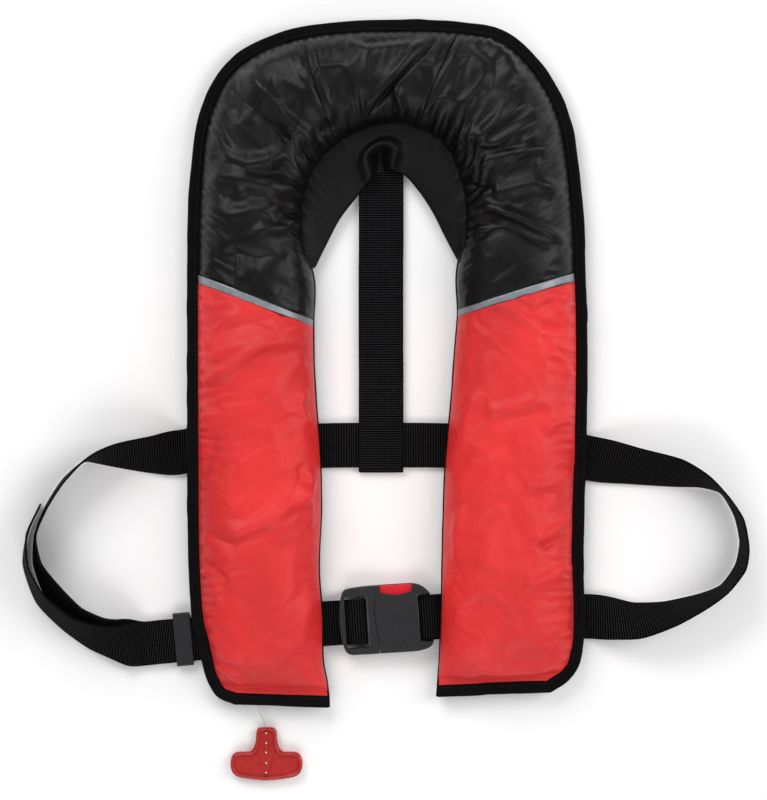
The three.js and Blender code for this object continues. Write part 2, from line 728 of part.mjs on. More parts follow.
function keeper() {
  const wall = 1.3;
  const z0 = 0.4;
  const z1 = 7.8;
  const half = KEEPER_WIDTH / 2;
  const shape = roundedRectangle(THREE.Shape, -half, z0, half, z1, 1.5);
  shape.holes.push(roundedRectangle(THREE.Path, -half + wall, z0 + wall, half - wall, z1 - wall, 0.5));
  return alongX(shape, -KEEPER_LENGTH / 2, KEEPER_LENGTH / 2);
}

const keeperMesh = add("tail_keeper", keeper(), buckleBlack);
keeperMesh.position.set(...KEEPER_CENTRE, 0);
keeperMesh.rotation.z = KEEPER_TURN;

// Buckle: u runs across the chest along the webbing, v across it.

const buckle = new THREE.Group();
buckle.position.set(...BUCKLE_CENTRE, 0);
buckle.rotation.z = BUCKLE_TURN;
jacket.add(buckle);

const HALF_WIDTH = BUCKLE_WIDTH / 2;
const BUCKLE_LOW = 0.3;
const BUTTON_TRAVEL = 4;

// The S-shaped parting line between tongue and body, from the top edge to the bottom edge.
const partingLine = (shift) => [
  v2(-6.5 + shift, HALF_WIDTH),
  v2(-7.4 + shift, 16),
  v2(-8.3 + shift, 4),
  v2(-7.2 + shift, -8),
  v2(-5.8 + shift, -18),
  v2(-5.6 + shift, -HALF_WIDTH),
];

function buckleBody() {
  const outline = new THREE.Shape(partingLine(0));
  outline.lineTo(24, -HALF_WIDTH);
  outline.bezierCurveTo(34, -30, 42.6, -27, 42.6, -21.5);
  outline.lineTo(41.4, -21.5);
  outline.lineTo(41.4, 20.5);
  outline.bezierCurveTo(37, 27, 31, HALF_WIDTH, 25, HALF_WIDTH);
  const body = plate(outline, BUCKLE_LOW, BUCKLE_THICKNESS);
  const window = block(29.6, 37.9, -22, 20.5, -1, 20);
  const aboveBar = block(37.8, 50, -22, 20.5, 7.3, 20);
  const underBar = block(37.8, 50, -22, 20.5, -1, 4.5);
  const tongueSlot = block(-12, 8, -19.5, 10.5, 4, 10);
  const buttonPocket = block(-3.5, 26.9, 14, 40, 2.7, 10.5);
  const notch = plate([v2(-3.3, 40), v2(-2.4, 23.2), v2(11.9, 20.5), v2(25.6, 23.2), v2(26.7, 40)],
    10.3, 20);
  return carve(body, [window, aboveBar, underBar, tongueSlot, buttonPocket, notch]);
}

function buckleTongue() {
  const outline = new THREE.Shape(partingLine(-0.4).reverse());
  outline.bezierCurveTo(-20, HALF_WIDTH, -31, 28.8, -34, 27.6);
  outline.bezierCurveTo(-38, 25, -39.8, 12, -39.8, 1);
  outline.bezierCurveTo(-39.8, -10, -38, -22, -36, -26);
  outline.bezierCurveTo(-34, -29.5, -31, -HALF_WIDTH, -27, -HALF_WIDTH);
  const frame = plate(outline, BUCKLE_LOW, BUCKLE_THICKNESS);
  const window = plate(roundedRectangle(THREE.Shape, -34.6, -24.4, -13.9, 21.8, 3), -1, 20);
  const underRim = block(-50, -30, -24.4, 21.8, -1, 7);
  const bar = block(-24, -20, -25.5, 22.8, 5.2, 8.6);
  const tongue = block(-9, 6.5, -18, 9, 4.6, 9.4);
  return carve(frame, [window, underRim], [bar, tongue]);
}

function releaseButton() {
  const outline = [v2(-2.9, 29.4), v2(-2.9, 20.5), v2(26.3, 20.5), v2(26.3, 29.4)];
  return plate(outline, 3, 10.1);
}

// A helix of wire standing along +Y, from y0 to y1.
function coil(radius, wire, turns, y0, y1) {
  const stepsPerTurn = 10;
  const points = steps(0, turns, turns * stepsPerTurn).map((t) => {
    const angle = 2 * Math.PI * t;
    return v3(radius * Math.cos(angle), y0 + ((y1 - y0) * t) / turns, radius * Math.sin(angle));
  });
  const section = new THREE.Shape(steps(0, 5, 5).map((k) => {
    const angle = (Math.PI * k) / 3;
    return v2(wire * Math.cos(angle), wire * Math.sin(angle));
  }));
  return new THREE.ExtrudeGeometry(section, {
    steps: turns * stepsPerTurn,
    bevelEnabled: false,
    extrudePath: new THREE.CatmullRomCurve3(points),
  });
}

add("buckle_body", buckleBody(), buckleBlack, buckle);
add("buckle_tongue", buckleTongue(), buckleBlack, buckle);
add("release_button", releaseButton(), buttonRed, buckle);
const buttonSpring = add("button_spring", coil(2.2, 0.35, 3, 14.8, 19.7), springSteel, buckle);
buttonSpring.position.set(11.7, 0, 6.5);

// ---- inflation system, folded away under the covers ----

// Height limit of the folded bladder: low where the inflator and the oral tube lie on top of it.
const BLADDER_BASE = COVER_BASE + GAP;
const BLADDER_LIMITS = [
  [3.5, 14],
  [7, 14],
  [8, 44],
  [25, 44],
  [26, 24],
  [32, 24],
];

function bladderLimit(rib) {
  const next = BLADDER_LIMITS.findIndex(([r]) => r > rib);
  if (next < 1) return BLADDER_LIMITS.at(next).at(1);
  const [r0, z0] = BLADDER_LIMITS[next - 1];
  const [r1, z1] = BLADDER_LIMITS[next];
  return THREE.MathUtils.mapLinear(rib, r0, r1, z0, z1);
}

function bladder() {
  const first = BLADDER_LIMITS[0][0];
  const last = BLADDER_LIMITS.at(-1)[0];
  const ribs = ribsBetween(first, last);
  const grid = ribs.map((rib) => {
    const width = innerAt(rib).distanceTo(outerAt(rib));
    const far = width - FLANGE_WIDTH - CLOSURE_WIDTH / 2;
    return [6, 18, far / 2, far - 18, far - 4].map((d) => coverPoint(rib, d, -3.5));
  });
  const top = grid.map((row, i) => row.map((p) => p.clone().setZ(Math.min(p.z, bladderLimit(ribs[i])))));
  const bottom = grid.map((row) => row.map((p) => p.clone().setZ(BLADDER_BASE)));
  return gridShell(top, bottom);
}

add("bladder", bladder(), bladderYellow);

// Inflator: its axis runs along Y, from the gas cylinder's neck down to the bobbin cap.
const inflator = new THREE.Group();
inflator.position.set(INFLATOR_X, HEAD_TOP_Y, INFLATOR_Z);
jacket.add(inflator);

const HEAD_HALF_WIDTH = 16;
const HEAD_HALF_HEIGHT = 12;
const NECK_RADIUS = 6.9;
const NECK_LENGTH = 9.3;
const BORE_RADIUS = 5.5;
const PIN_HOLE_RADIUS = 2.7;
const STEM = { x: 10.6, y: -18, radius: 3 };
const LEVER_PIVOT = { x: -12.5, y: -14, radius: 1.5 };

// A round bar along +Z.
function upright(radius, z0, z1, x, y, segments = 14) {
  const geometry = new THREE.CylinderGeometry(radius, radius, z1 - z0, segments);
  return geometry.rotateX(Math.PI / 2).translate(x, y, (z0 + z1) / 2);
}

function inflatorBody() {
  const shape = roundedRectangle(THREE.Shape, -HEAD_HALF_WIDTH, -HEAD_LENGTH, HEAD_HALF_WIDTH, 0, 4);
  const body = plate(shape, -HEAD_HALF_HEIGHT, HEAD_HALF_HEIGHT);
  const boss = turned(rodProfile(8.8, -HEAD_LENGTH - 5, -HEAD_LENGTH + 2));
  const socket = turned(rodProfile(NECK_RADIUS + GAP, -10, 2));
  const bore = turned(rodProfile(BORE_RADIUS, -HEAD_LENGTH - 8, -12.5));
  const pinHole = turned(rodProfile(PIN_HOLE_RADIUS, -14, -8), 12);
  const stemHole = upright(STEM.radius + GAP, -20, 20, STEM.x, STEM.y);
  const leverSlot = block(-25, -7.6, -50, -8, -3.6, 3.6);
  const pivotHole = upright(LEVER_PIVOT.radius + GAP, -20, 20, LEVER_PIVOT.x, LEVER_PIVOT.y, 12);
  return carve(carve(body, [], [boss]), [socket, bore, pinHole, stemHole, leverSlot, pivotHole]);
}

const LEVER_REACH = 19;

function firingLever() {
  const { x, y, radius } = LEVER_PIVOT;
  const eye = upright(4, -3, 3, x, y);
  const arm = block(x - LEVER_REACH - 2, x, y - 2.4, y + 2.4, -3, 3);
  const pivotHole = upright(radius + 2 * GAP, -9, 9, x, y, 12);
  const cordEye = upright(1.4, -9, 9, x - LEVER_REACH + 0.5, y, 10);
  return carve(carve(eye, [], [arm]), [pivotHole, cordEye]);
}

add("inflator_body", inflatorBody(), inflatorGrey, inflator);
add("firing_lever", firingLever(), leverYellow, inflator);
add("lever_pivot", upright(LEVER_PIVOT.radius, -11.5, 11.5, LEVER_PIVOT.x, LEVER_PIVOT.y, 10),
  steel, inflator);

const PIN_TIP = -12.4;
const PIN_END = -34;
const piercingPin = turned([
  [0, PIN_TIP + 4],
  [1, PIN_TIP],
  [2.1, PIN_TIP - 3],
  [2.1, PIN_END + 3],
  [4.8, PIN_END + 3],
  [4.8, PIN_END],
  [0, PIN_END],
], 12);
add("piercing_pin", piercingPin, steel, inflator);
add("piercing_spring", coil(3.5, 0.5, 4, -30, -18.5), springSteel, inflator);

const BOBBIN_TOP = PIN_END - 0.6;
add("water_bobbin", turned(ringProfile(1.8, 5.1, BOBBIN_TOP - 7, BOBBIN_TOP), 14), bobbinWhite, inflator);

const capTop = -HEAD_LENGTH - 0.5;
const bobbinCap = turned([
  [9.2, capTop],
  [11, capTop],
  [11, capTop - 12],
  [9.5, capTop - 14],
  [2, capTop - 14],
  [2, capTop - 12],
  [9.2, capTop - 12],
  [9.2, capTop],
], 18);
add("bobbin_cap", bobbinCap, inflatorGrey, inflator);

// Hollow steel cylinder, open only at its narrow neck.
function gasCylinder() {
  const r = CYLINDER_RADIUS;
  const wall = 1.6;
  const neckBottom = -NECK_LENGTH;
  const top = CYLINDER_LENGTH + neckBottom;
  return turned([
    [0, top],
    [r * 0.6, top - 1.5],
    [r, top - 8],
    [r, 12],
    [NECK_RADIUS, 3],
    [NECK_RADIUS, neckBottom],
    [PIN_HOLE_RADIUS, neckBottom],
    [PIN_HOLE_RADIUS, 4],
    [r - wall, 13],
    [r - wall, top - 9],
    [0, top - 3],
  ], 20);
}

add("gas_cylinder", gasCylinder(), steel, inflator);
add("status_indicator", upright(2.6, 12.3, 14, -8, -28, 12), indicatorGreen, inflator);

// The manifold is welded to the bladder; its stem passes up through the inflator body to the nut.
const flangeLow = BLADDER_LIMITS[0][1] + GAP - INFLATOR_Z;
const flangeHigh = flangeLow + 1.6;
function manifold() {
  const flange = upright(9, flangeLow, flangeHigh, STEM.x - 2, STEM.y, 20);
  const stem = upright(STEM.radius, flangeLow + 0.5, HEAD_HALF_HEIGHT + 2.6, STEM.x, STEM.y);
  return carve(flange, [], [stem]);
}

function standingRing(inner, outer, z0, z1, x, y) {
  const ring = turned(ringProfile(inner, outer, z0, z1));
  return ring.rotateX(Math.PI / 2).translate(x, y, 0);
}

add("inflator_manifold", manifold(), rubberBlack, inflator);
add("inflator_gasket", standingRing(3.4, 6, flangeHigh + GAP, -HEAD_HALF_HEIGHT - GAP,
  STEM.x, STEM.y), rubberBlack, inflator);
add("inflator_nut", standingRing(3.3, 5.2, HEAD_HALF_HEIGHT + GAP, HEAD_HALF_HEIGHT + 3,
  STEM.x, STEM.y), steel, inflator);

// Oral inflation tube along the other lobe, with its base on the bladder, valve and dust cap.
const oral = new THREE.Group();
oral.position.set(ORAL_X, ORAL_TOP_Y, ORAL_Z);
jacket.add(oral);

const oralBaseLow = BLADDER_LIMITS.at(-1)[1] + GAP - ORAL_Z;
function oralBase() {
  const flange = upright(14, oralBaseLow, oralBaseLow + 1.6, 0, 9, 20);
  const stub = upright(8.2, oralBaseLow + 1, 7.5, 0, 9, 16);
  return carve(flange, [], [stub]);
}

const VALVE_TOP = -ORAL_LENGTH - GAP;
const VALVE_LENGTH = 12;
const ORAL_CAP_TOP = VALVE_TOP - 4;
add("oral_tube_base", oralBase(), rubberBlack, oral);
add("oral_tube", turned(ringProfile(4.5, ORAL_RADIUS, -ORAL_LENGTH, 0), 14), rubberBlack, oral);
add("oral_valve", turned(ringProfile(3, 7.4, VALVE_TOP - VALVE_LENGTH, VALVE_TOP), 14), rubberBlack, oral);
const oralCap = turned([
  [7.8, ORAL_CAP_TOP],
  [9.3, ORAL_CAP_TOP],
  [9.3, ORAL_CAP_TOP - 12],
  [0, ORAL_CAP_TOP - 12],
  [0, ORAL_CAP_TOP - 10.4],
  [7.8, ORAL_CAP_TOP - 10.4],
  [7.8, ORAL_CAP_TOP],
], 16);
add("oral_cap", oralCap, leverYellow, oral);

// Whistle: a flat body with a sound window, and its lanyard tied to the oral tube's base.
const WHISTLE = { x: 137, top: -118, length: 46, width: 16, low: 26, height: 11 };
function whistle() {
  const { x, top, length, width, low, height } = WHISTLE;
  const shape = roundedRectangle(THREE.Shape, x - width / 2, top - length, x + width / 2, top, 4);
  const body = plate(shape, low, low + height);
  const airway = block(x - 5, x + 5, top - length - 2, top - 9, low + 2.5, low + height - 2.5);
  const soundHole = block(x - 5, x + 5, top - 30, top - 24, low + height - 4, low + height + 2);
  const lanyardHole = upright(1.8, low - 2, low + height + 2, x, top - 5, 10);
  return carve(body, [airway, soundHole, lanyardHole]);
}

add("whistle", whistle(), whistleOrange);

// A round tube along hand-set points.
function cordTube(points, diameter, sides, count) {
  const r = diameter / 2;
  const section = new THREE.Shape(steps(0, sides - 1, sides - 1).map((k) => {
    const angle = (2 * Math.PI * k) / sides;
    return v2(r * Math.cos(angle), r * Math.sin(angle));
  }));
  return new THREE.ExtrudeGeometry(section, {
    steps: count,
    bevelEnabled: false,
    extrudePath: new THREE.CatmullRomCurve3(points.map((p) => v3(...p))),
  });
}

const lanyardRoute = [
  [137, -117.4, 31],
  [138, -105, 32],
  [134, -90, 33],
  [124, -74, 33],
  [115, -60, 32],
  [110.8, -55, 31],
];
add("whistle_lanyard", cordTube(lanyardRoute, 2, 8, 14), cordWhite);

// ---- pull cord and handle ----

// From the firing lever's eye, out between the back panel and the hem, down to the handle.
const cordRoute = [
  [-141, -226, 27],
  [-138.5, -234, 23],
  [-133, -244, 17],
  [-124, -256, 11.5],
  [-115, -266, CORD_Z],
  [-111.4, -274, CORD_Z],
  [-111, -284, CORD_Z],
  [-111, -296, CORD_Z],
  [-110.8, -304, CORD_Z],
  [-109.6, -308, 9.2],
  [-107.6, -312.5, 7.2],
  [-105.6, -317, 5],
  [-104.5, -321.3, 3.5],
];
add("pull_cord", cordTube(cordRoute, CORD_DIAMETER, 8, 28), cordWhite);

// T-shaped handle: stem on top, wings below; inset draws the same outline further in.
const HANDLE = { x: -103.7, top: -321.7, shoulder: -343.4, bottom: -368.7, low: 0.4, high: 6.4 };
function handleOutline(inset) {
  const { x, top, shoulder, bottom } = HANDLE;
  const stem = 9 - inset;
  const wing = 31.8 - inset;
  const s = new THREE.Shape();
  s.moveTo(x - stem, top - 6);
  s.quadraticCurveTo(x - stem, top - inset, x - stem + 5, top - inset);
  s.lineTo(x + stem - 5, top - inset);
  s.quadraticCurveTo(x + stem, top - inset, x + stem, top - 6);
  s.quadraticCurveTo(x + stem, shoulder + 3 - inset, x + stem + 6, shoulder - inset);
  s.lineTo(x + wing - 8, shoulder - inset);
  s.quadraticCurveTo(x + wing, shoulder - inset, x + wing, shoulder - 11);
  s.quadraticCurveTo(x + wing, bottom + 5 + inset, x + wing - 8, bottom + 3 + inset);
  s.quadraticCurveTo(x + 14, bottom + 1 + inset, x, bottom + inset);
  s.quadraticCurveTo(x - 14, bottom + 1 + inset, x - wing + 8, bottom + 3 + inset);
  s.quadraticCurveTo(x - wing, bottom + 5 + inset, x - wing, shoulder - 11);
  s.quadraticCurveTo(x - wing, shoulder - inset, x - wing + 8, shoulder - inset);
  s.lineTo(x - stem - 6, shoulder - inset);
  s.quadraticCurveTo(x - stem, shoulder + 3 - inset, x - stem, top - 6);
  return s;
}

const CORD_HOLES = [5.1, 13.8, 22.3, 31.6, 40.1]; // distances of the cord's holes from the handle's top
const CORD_HOLE_RADIUS = 0.8;

function pullHandle() {
  const { low, high, x, top } = HANDLE;
  const body = plate(handleOutline(0), low, high);
  const recess = plate(handleOutline(3.2), high - 1.2, high + 3);
  const holes = CORD_HOLES.map((dy) => upright(CORD_HOLE_RADIUS, -2, 10, x, top - dy, 10));
  return carve(body, [recess, ...holes]);
}

add("pull_handle", pullHandle(), handleRed);

export default jacket;
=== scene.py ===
"""Inflatable life jacket, packed, lying on its back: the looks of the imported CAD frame."""

import json
import math

import bmesh
import bpy
import numpy as np
from mathutils import Matrix, Vector

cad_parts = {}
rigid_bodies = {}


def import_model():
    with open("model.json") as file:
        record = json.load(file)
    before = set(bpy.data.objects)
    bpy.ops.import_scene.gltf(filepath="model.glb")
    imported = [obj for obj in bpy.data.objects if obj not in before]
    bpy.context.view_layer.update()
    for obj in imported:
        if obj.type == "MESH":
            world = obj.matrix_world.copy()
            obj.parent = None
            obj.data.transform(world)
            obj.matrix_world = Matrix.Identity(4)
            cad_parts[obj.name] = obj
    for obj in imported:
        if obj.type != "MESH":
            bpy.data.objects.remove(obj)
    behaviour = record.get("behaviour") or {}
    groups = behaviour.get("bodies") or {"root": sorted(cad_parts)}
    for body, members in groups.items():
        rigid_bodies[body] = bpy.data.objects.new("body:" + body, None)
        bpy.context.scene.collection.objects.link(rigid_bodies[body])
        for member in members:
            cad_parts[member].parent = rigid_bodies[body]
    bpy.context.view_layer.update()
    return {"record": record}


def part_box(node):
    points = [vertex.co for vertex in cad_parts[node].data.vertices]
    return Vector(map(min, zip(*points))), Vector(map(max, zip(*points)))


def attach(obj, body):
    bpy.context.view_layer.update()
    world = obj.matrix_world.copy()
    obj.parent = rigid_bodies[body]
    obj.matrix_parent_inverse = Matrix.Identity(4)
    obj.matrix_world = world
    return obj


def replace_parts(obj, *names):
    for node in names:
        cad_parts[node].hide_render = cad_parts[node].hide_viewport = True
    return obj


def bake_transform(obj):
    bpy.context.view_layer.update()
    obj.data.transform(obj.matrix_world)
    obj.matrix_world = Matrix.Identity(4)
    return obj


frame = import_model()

MM = 0.001

# ---- camera ----

VIEW_CENTRE = Vector((0.0, -0.0317, 0.025))
VIEW_DISTANCE = 3.0
VIEW_HEIGHT = 0.704
SENSOR = 36.0


def make_camera():
    data = bpy.data.cameras.new("camera")
    data.sensor_fit = "VERTICAL"
    data.sensor_height = SENSOR
    data.lens = SENSOR * VIEW_DISTANCE / VIEW_HEIGHT
    data.clip_start = 0.1
    data.clip_end = 20
    camera = bpy.data.objects.new("camera", data)
    camera.location = VIEW_CENTRE + Vector((0, 0, VIEW_DISTANCE))
    bpy.context.scene.collection.objects.link(camera)
    bpy.context.scene.camera = camera


make_camera()

# ---- nodes of a material ----


SOCKETS = {"sheen": "Sheen Weight", "specular": "Specular IOR Level", "metallic": "Metallic"}
NOISE_ROUGHNESS = 0.55
WAVE_PERIOD = math.pi / 10  # of a wave texture at scale 1


class Shader:
    """A Principled material built up from procedural nodes, on the mesh's UV map in metres."""

    def __init__(self, name, color, roughness=0.5, **sockets):
        self.material = bpy.data.materials.new(name)
        self.material.use_nodes = True
        self.nodes = self.material.node_tree.nodes
        self.links = self.material.node_tree.links
        self.bsdf = self.nodes["Principled BSDF"]
        self.color = color
        self.bsdf.inputs["Base Color"].default_value = (*color, 1)
        self.bsdf.inputs["Roughness"].default_value = roughness
        for key, value in sockets.items():
            self.bsdf.inputs[SOCKETS[key]].default_value = value
        self.normal = None

    def coords(self, space, turn=0):
        tex = self.nodes.new("ShaderNodeTexCoord")
        mapping = self.nodes.new("ShaderNodeMapping")
        mapping.inputs["Rotation"].default_value = (0, 0, turn)
        self.links.new(tex.outputs[space], mapping.inputs["Vector"])
        return mapping.outputs["Vector"]

    def noise(self, scale, detail=3, distortion=0.0):
        node = self.nodes.new("ShaderNodeTexNoise")
        node.inputs["Scale"].default_value = scale
        node.inputs["Detail"].default_value = detail
        node.inputs["Roughness"].default_value = NOISE_ROUGHNESS
        node.inputs["Distortion"].default_value = distortion
        self.links.new(self.coords("Object"), node.inputs["Vector"])
        return node.outputs["Fac"]

    def wave(self, pitch, along="X", space="UV", turn=0, distortion=0.0):
        node = self.nodes.new("ShaderNodeTexWave")
        node.bands_direction = along
        node.wave_profile = "SIN"
        node.inputs["Scale"].default_value = WAVE_PERIOD / pitch
        node.inputs["Distortion"].default_value = distortion
        node.inputs["Detail"].default_value = 1
        self.links.new(self.coords(space, turn), node.inputs["Vector"])
        return node.outputs["Fac"]

    def math(self, operation, a, b):
        node = self.nodes.new("ShaderNodeMath")
        node.operation = operation
        for k, value in enumerate((a, b)):
            if isinstance(value, (int, float)):
                node.inputs[k].default_value = value
            else:
                self.links.new(value, node.inputs[k])
        return node.outputs[0]

    def ramp(self, fac, stops):
        node = self.nodes.new("ShaderNodeValToRGB")
        elements = node.color_ramp.elements
        while len(elements) < len(stops):
            elements.new(0.5)
        for element, (at, color) in zip(elements, stops):
            element.position = at
            element.color = (*color, 1) if hasattr(color, "__len__") else (color,) * 3 + (1,)
        self.links.new(fac, node.inputs["Fac"])
        return node.outputs["Color"]

    def tint(self, fac, low, high, at=(0.3, 0.7)):
        """Base colour that runs from low to high times the material's colour as fac rises."""
        stops = [(x, [c * k for c in self.color]) for x, k in zip(at, (low, high))]
        self.links.new(self.ramp(fac, stops), self.bsdf.inputs["Base Color"])

    def rough(self, fac, low, high, at=(0.3, 0.7)):
        self.links.new(self.ramp(fac, list(zip(at, (low, high)))), self.bsdf.inputs["Roughness"])

    def bump(self, fac, depth):
        """Adds a bump of that depth in metres on top of the ones already there."""
        node = self.nodes.new("ShaderNodeBump")
        node.inputs["Strength"].default_value = 1.0
        node.inputs["Distance"].default_value = depth
        self.links.new(fac, node.inputs["Height"])
        if self.normal is not None:
            self.links.new(self.normal, node.inputs["Normal"])
        self.normal = node.outputs["Normal"]
        self.links.new(self.normal, self.bsdf.inputs["Normal"])


def srgb(r, g, b):
    """An 8-bit display colour as linear light."""
    def linear(c):
        c /= 255
        return c / 12.92 if c <= 0.04045 else ((c + 0.055) / 1.055) ** 2.4
    return linear(r), linear(g), linear(b)

# ---- curves, noise and mesh tools; lengths in millimetres ----


def catmull(points, t, centripetal=True, tension=0.5):
    """Points on a Catmull-Rom curve through points; t runs from 0 to 1, evenly per control point."""
    pts = np.asarray(points, float)
    last = len(pts) - 1
    ext = np.vstack([2 * pts[0] - pts[1], pts, 2 * pts[-1] - pts[-2]])
    at = np.clip(np.asarray(t, float) * last, 0, last)
    k = np.minimum(at.astype(int), last - 1)
    w = (at - k)[:, None]
    p0, p1, p2, p3 = (ext[k + i] for i in range(4))
    if centripetal:
        d = [np.maximum(np.linalg.norm(b - a, axis=1), 1e-9)[:, None] ** 0.5
             for a, b in ((p0, p1), (p1, p2), (p2, p3))]
        t1 = ((p1 - p0) / d[0] - (p2 - p0) / (d[0] + d[1]) + (p2 - p1) / d[1]) * d[1]
        t2 = ((p2 - p1) / d[1] - (p3 - p1) / (d[1] + d[2]) + (p3 - p2) / d[2]) * d[1]
    else:
        t1 = tension * (p2 - p0)
        t2 = tension * (p3 - p1)
    w2, w3 = w * w, w ** 3
    return (p1 * (2 * w3 - 3 * w2 + 1) + t1 * (w3 - 2 * w2 + w)
            + p2 * (3 * w2 - 2 * w3) + t2 * (w3 - w2))


LATTICE = 256


def noise2(x, y, seed):
    """Smooth noise from -1 to 1 with a period of about one unit."""
    grid = np.random.default_rng(seed).random((LATTICE, LATTICE)) * 2 - 1
    xi, yi = np.floor(x).astype(int), np.floor(y).astype(int)
    fx, fy = x - xi, y - yi
    fx = fx * fx * fx * (fx * (fx * 6 - 15) + 10)
    fy = fy * fy * fy * (fy * (fy * 6 - 15) + 10)

    def corner(i, j):
        return grid[(xi + i) % LATTICE, (yi + j) % LATTICE]

    return ((corner(0, 0) * (1 - fx) + corner(1, 0) * fx) * (1 - fy)
            + (corner(0, 1) * (1 - fx) + corner(1, 1) * fx) * fy)


def ridges(x, y, seed):
    """Sharp-crested folds: 0 in broad valleys, near 1 along thin lines."""
    return (1 - np.abs(noise2(x, y, seed))) ** 4


def smooth(x, low, high):
    t = np.clip((x - low) / (high - low), 0, 1)
    return t * t * (3 - 2 * t)


def segment_distance(xy, line):
    """Distance of each point to a polyline, and how far along it the nearest point is, 0 to 1."""
    line = np.asarray(line, float)
    best = np.full(len(xy), 1e9)
    along = np.zeros(len(xy))
    lengths = np.linalg.norm(np.diff(line, axis=0), axis=1)
    total = lengths.sum()
    done = 0.0
    for a, b, length in zip(line[:-1], line[1:], lengths):
        d = (b - a) / length
        t = np.clip((xy - a) @ d, 0, length)
        dist = np.linalg.norm(xy - a - t[:, None] * d, axis=1)
        near = dist < best
        best[near] = dist[near]
        along[near] = (done + t[near]) / total
        done += length
    return best, along


def add_fold(x, y, height, line, width, amount):
    """A raised fold along a line, or with a negative amount a crease, that fades at its ends."""
    shape = height.shape
    dist, along = segment_distance(np.column_stack([x.ravel(), y.ravel()]), line)
    fade = smooth(along, 0, 0.22) * (1 - smooth(along, 0.78, 1))
    sharpness = 1.25 if amount < 0 else 1.8
    return height + (amount * fade * np.exp(-(dist / width) ** sharpness)).reshape(shape)


def add_folds(grid, height, folds, gain):
    """Adds folds to a cover's height, and flattens them where they reach its flat edges."""
    extra = 0 * height
    for line, width, amount in folds:
        extra = add_fold(grid["x"], grid["y"], extra, line, width, amount)
    clear = smooth(grid["out"], -1, 10) * smooth(grid["in"], 0, 10) * smooth(grid["hem"], -6, 6)
    return height + gain * extra * clear


def new_object(name, mesh, material, slot, body="jacket"):
    """A smooth-shaded piece that rides on a body."""
    mesh.polygons.foreach_set("use_smooth", np.ones(len(mesh.polygons), bool))
    obj = bpy.data.objects.new(name, mesh)
    bpy.context.scene.collection.objects.link(obj)
    mesh.materials.append(material)
    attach(obj, body)
    return obj


def build_mesh(name, points, faces, uvs):
    """A mesh in metres from points, faces and one UV per point, both given in millimetres."""
    mesh = bpy.data.meshes.new(name)
    mesh.from_pydata((np.asarray(points) * MM).tolist(), [], faces)
    layer = mesh.uv_layers.new(name="UVMap")
    loops = np.empty(len(mesh.loops), int)
    mesh.loops.foreach_get("vertex_index", loops)
    layer.data.foreach_set("uv", (np.asarray(uvs)[loops] * MM).ravel())
    mesh.validate()
    mesh.update()
    return mesh


def grid_faces(rows, columns, wrap=False):
    faces = []
    for i in range(rows - 1):
        for j in range(columns if wrap else columns - 1):
            a = i * columns + j
            b = i * columns + (j + 1) % columns
            faces.append((a, b, b + columns, a + columns))
    return faces


def arc_uv(points):
    """UVs in millimetres measured along a grid's rows and columns."""
    rows = np.cumsum(np.linalg.norm(np.diff(points, axis=0, prepend=points[:1]), axis=2), axis=0)
    cols = np.cumsum(np.linalg.norm(np.diff(points, axis=1, prepend=points[:, :1]), axis=2), axis=1)
    mid = rows[:, rows.shape[1] // 2][:, None] + 0 * rows
    return np.stack([cols, mid], axis=2).reshape(-1, 2)


def sheet_mesh(name, points):
    """A mesh of one grid of points."""
    return build_mesh(name, points.reshape(-1, 3), grid_faces(*points.shape[:2]), arc_uv(points))


def thicken(obj, thickness):
    solid = obj.modifiers.new("fabric", "SOLIDIFY")
    solid.thickness = thickness * MM
    solid.offset = -1


def tube_mesh(name, rings):
    """A loft of rings with the same number of points each, closed at both ends."""
    rings = np.asarray(rings, float)
    rows, columns = rings.shape[:2]
    faces = grid_faces(rows, columns, wrap=True)
    faces.append(tuple(range(columns))[::-1])
    faces.append(tuple(range((rows - 1) * columns, rows * columns)))
    centre = rings.mean(axis=1)
    along = np.cumsum(np.linalg.norm(np.diff(centre, axis=0, prepend=centre[:1]), axis=1))
    closed = np.concatenate([rings, rings[:, :1]], axis=1)
    around = np.cumsum(np.linalg.norm(np.diff(closed, axis=1), axis=2), axis=1)
    around = np.concatenate([np.zeros((rows, 1)), around[:, :-1]], axis=1)
    uvs = np.stack([around, along[:, None] + 0 * around], axis=2).reshape(-1, 2)
    return build_mesh(name, rings.reshape(-1, 3), faces, uvs)


# Along a stitch, from -0.5 to 0.5 of its length: its width and its height there, as shares of the whole.
STITCH_PROFILE = [(-0.5, 0.25, -0.5), (-0.3, 0.9, 0.75), (0.0, 1.0, 1.0), (0.3, 0.9, 0.75),
                  (0.5, 0.25, -0.5)]
STITCH_SECTION = ((-1, 0.0), (-0.55, 0.8), (0.55, 0.8), (1, 0.0))


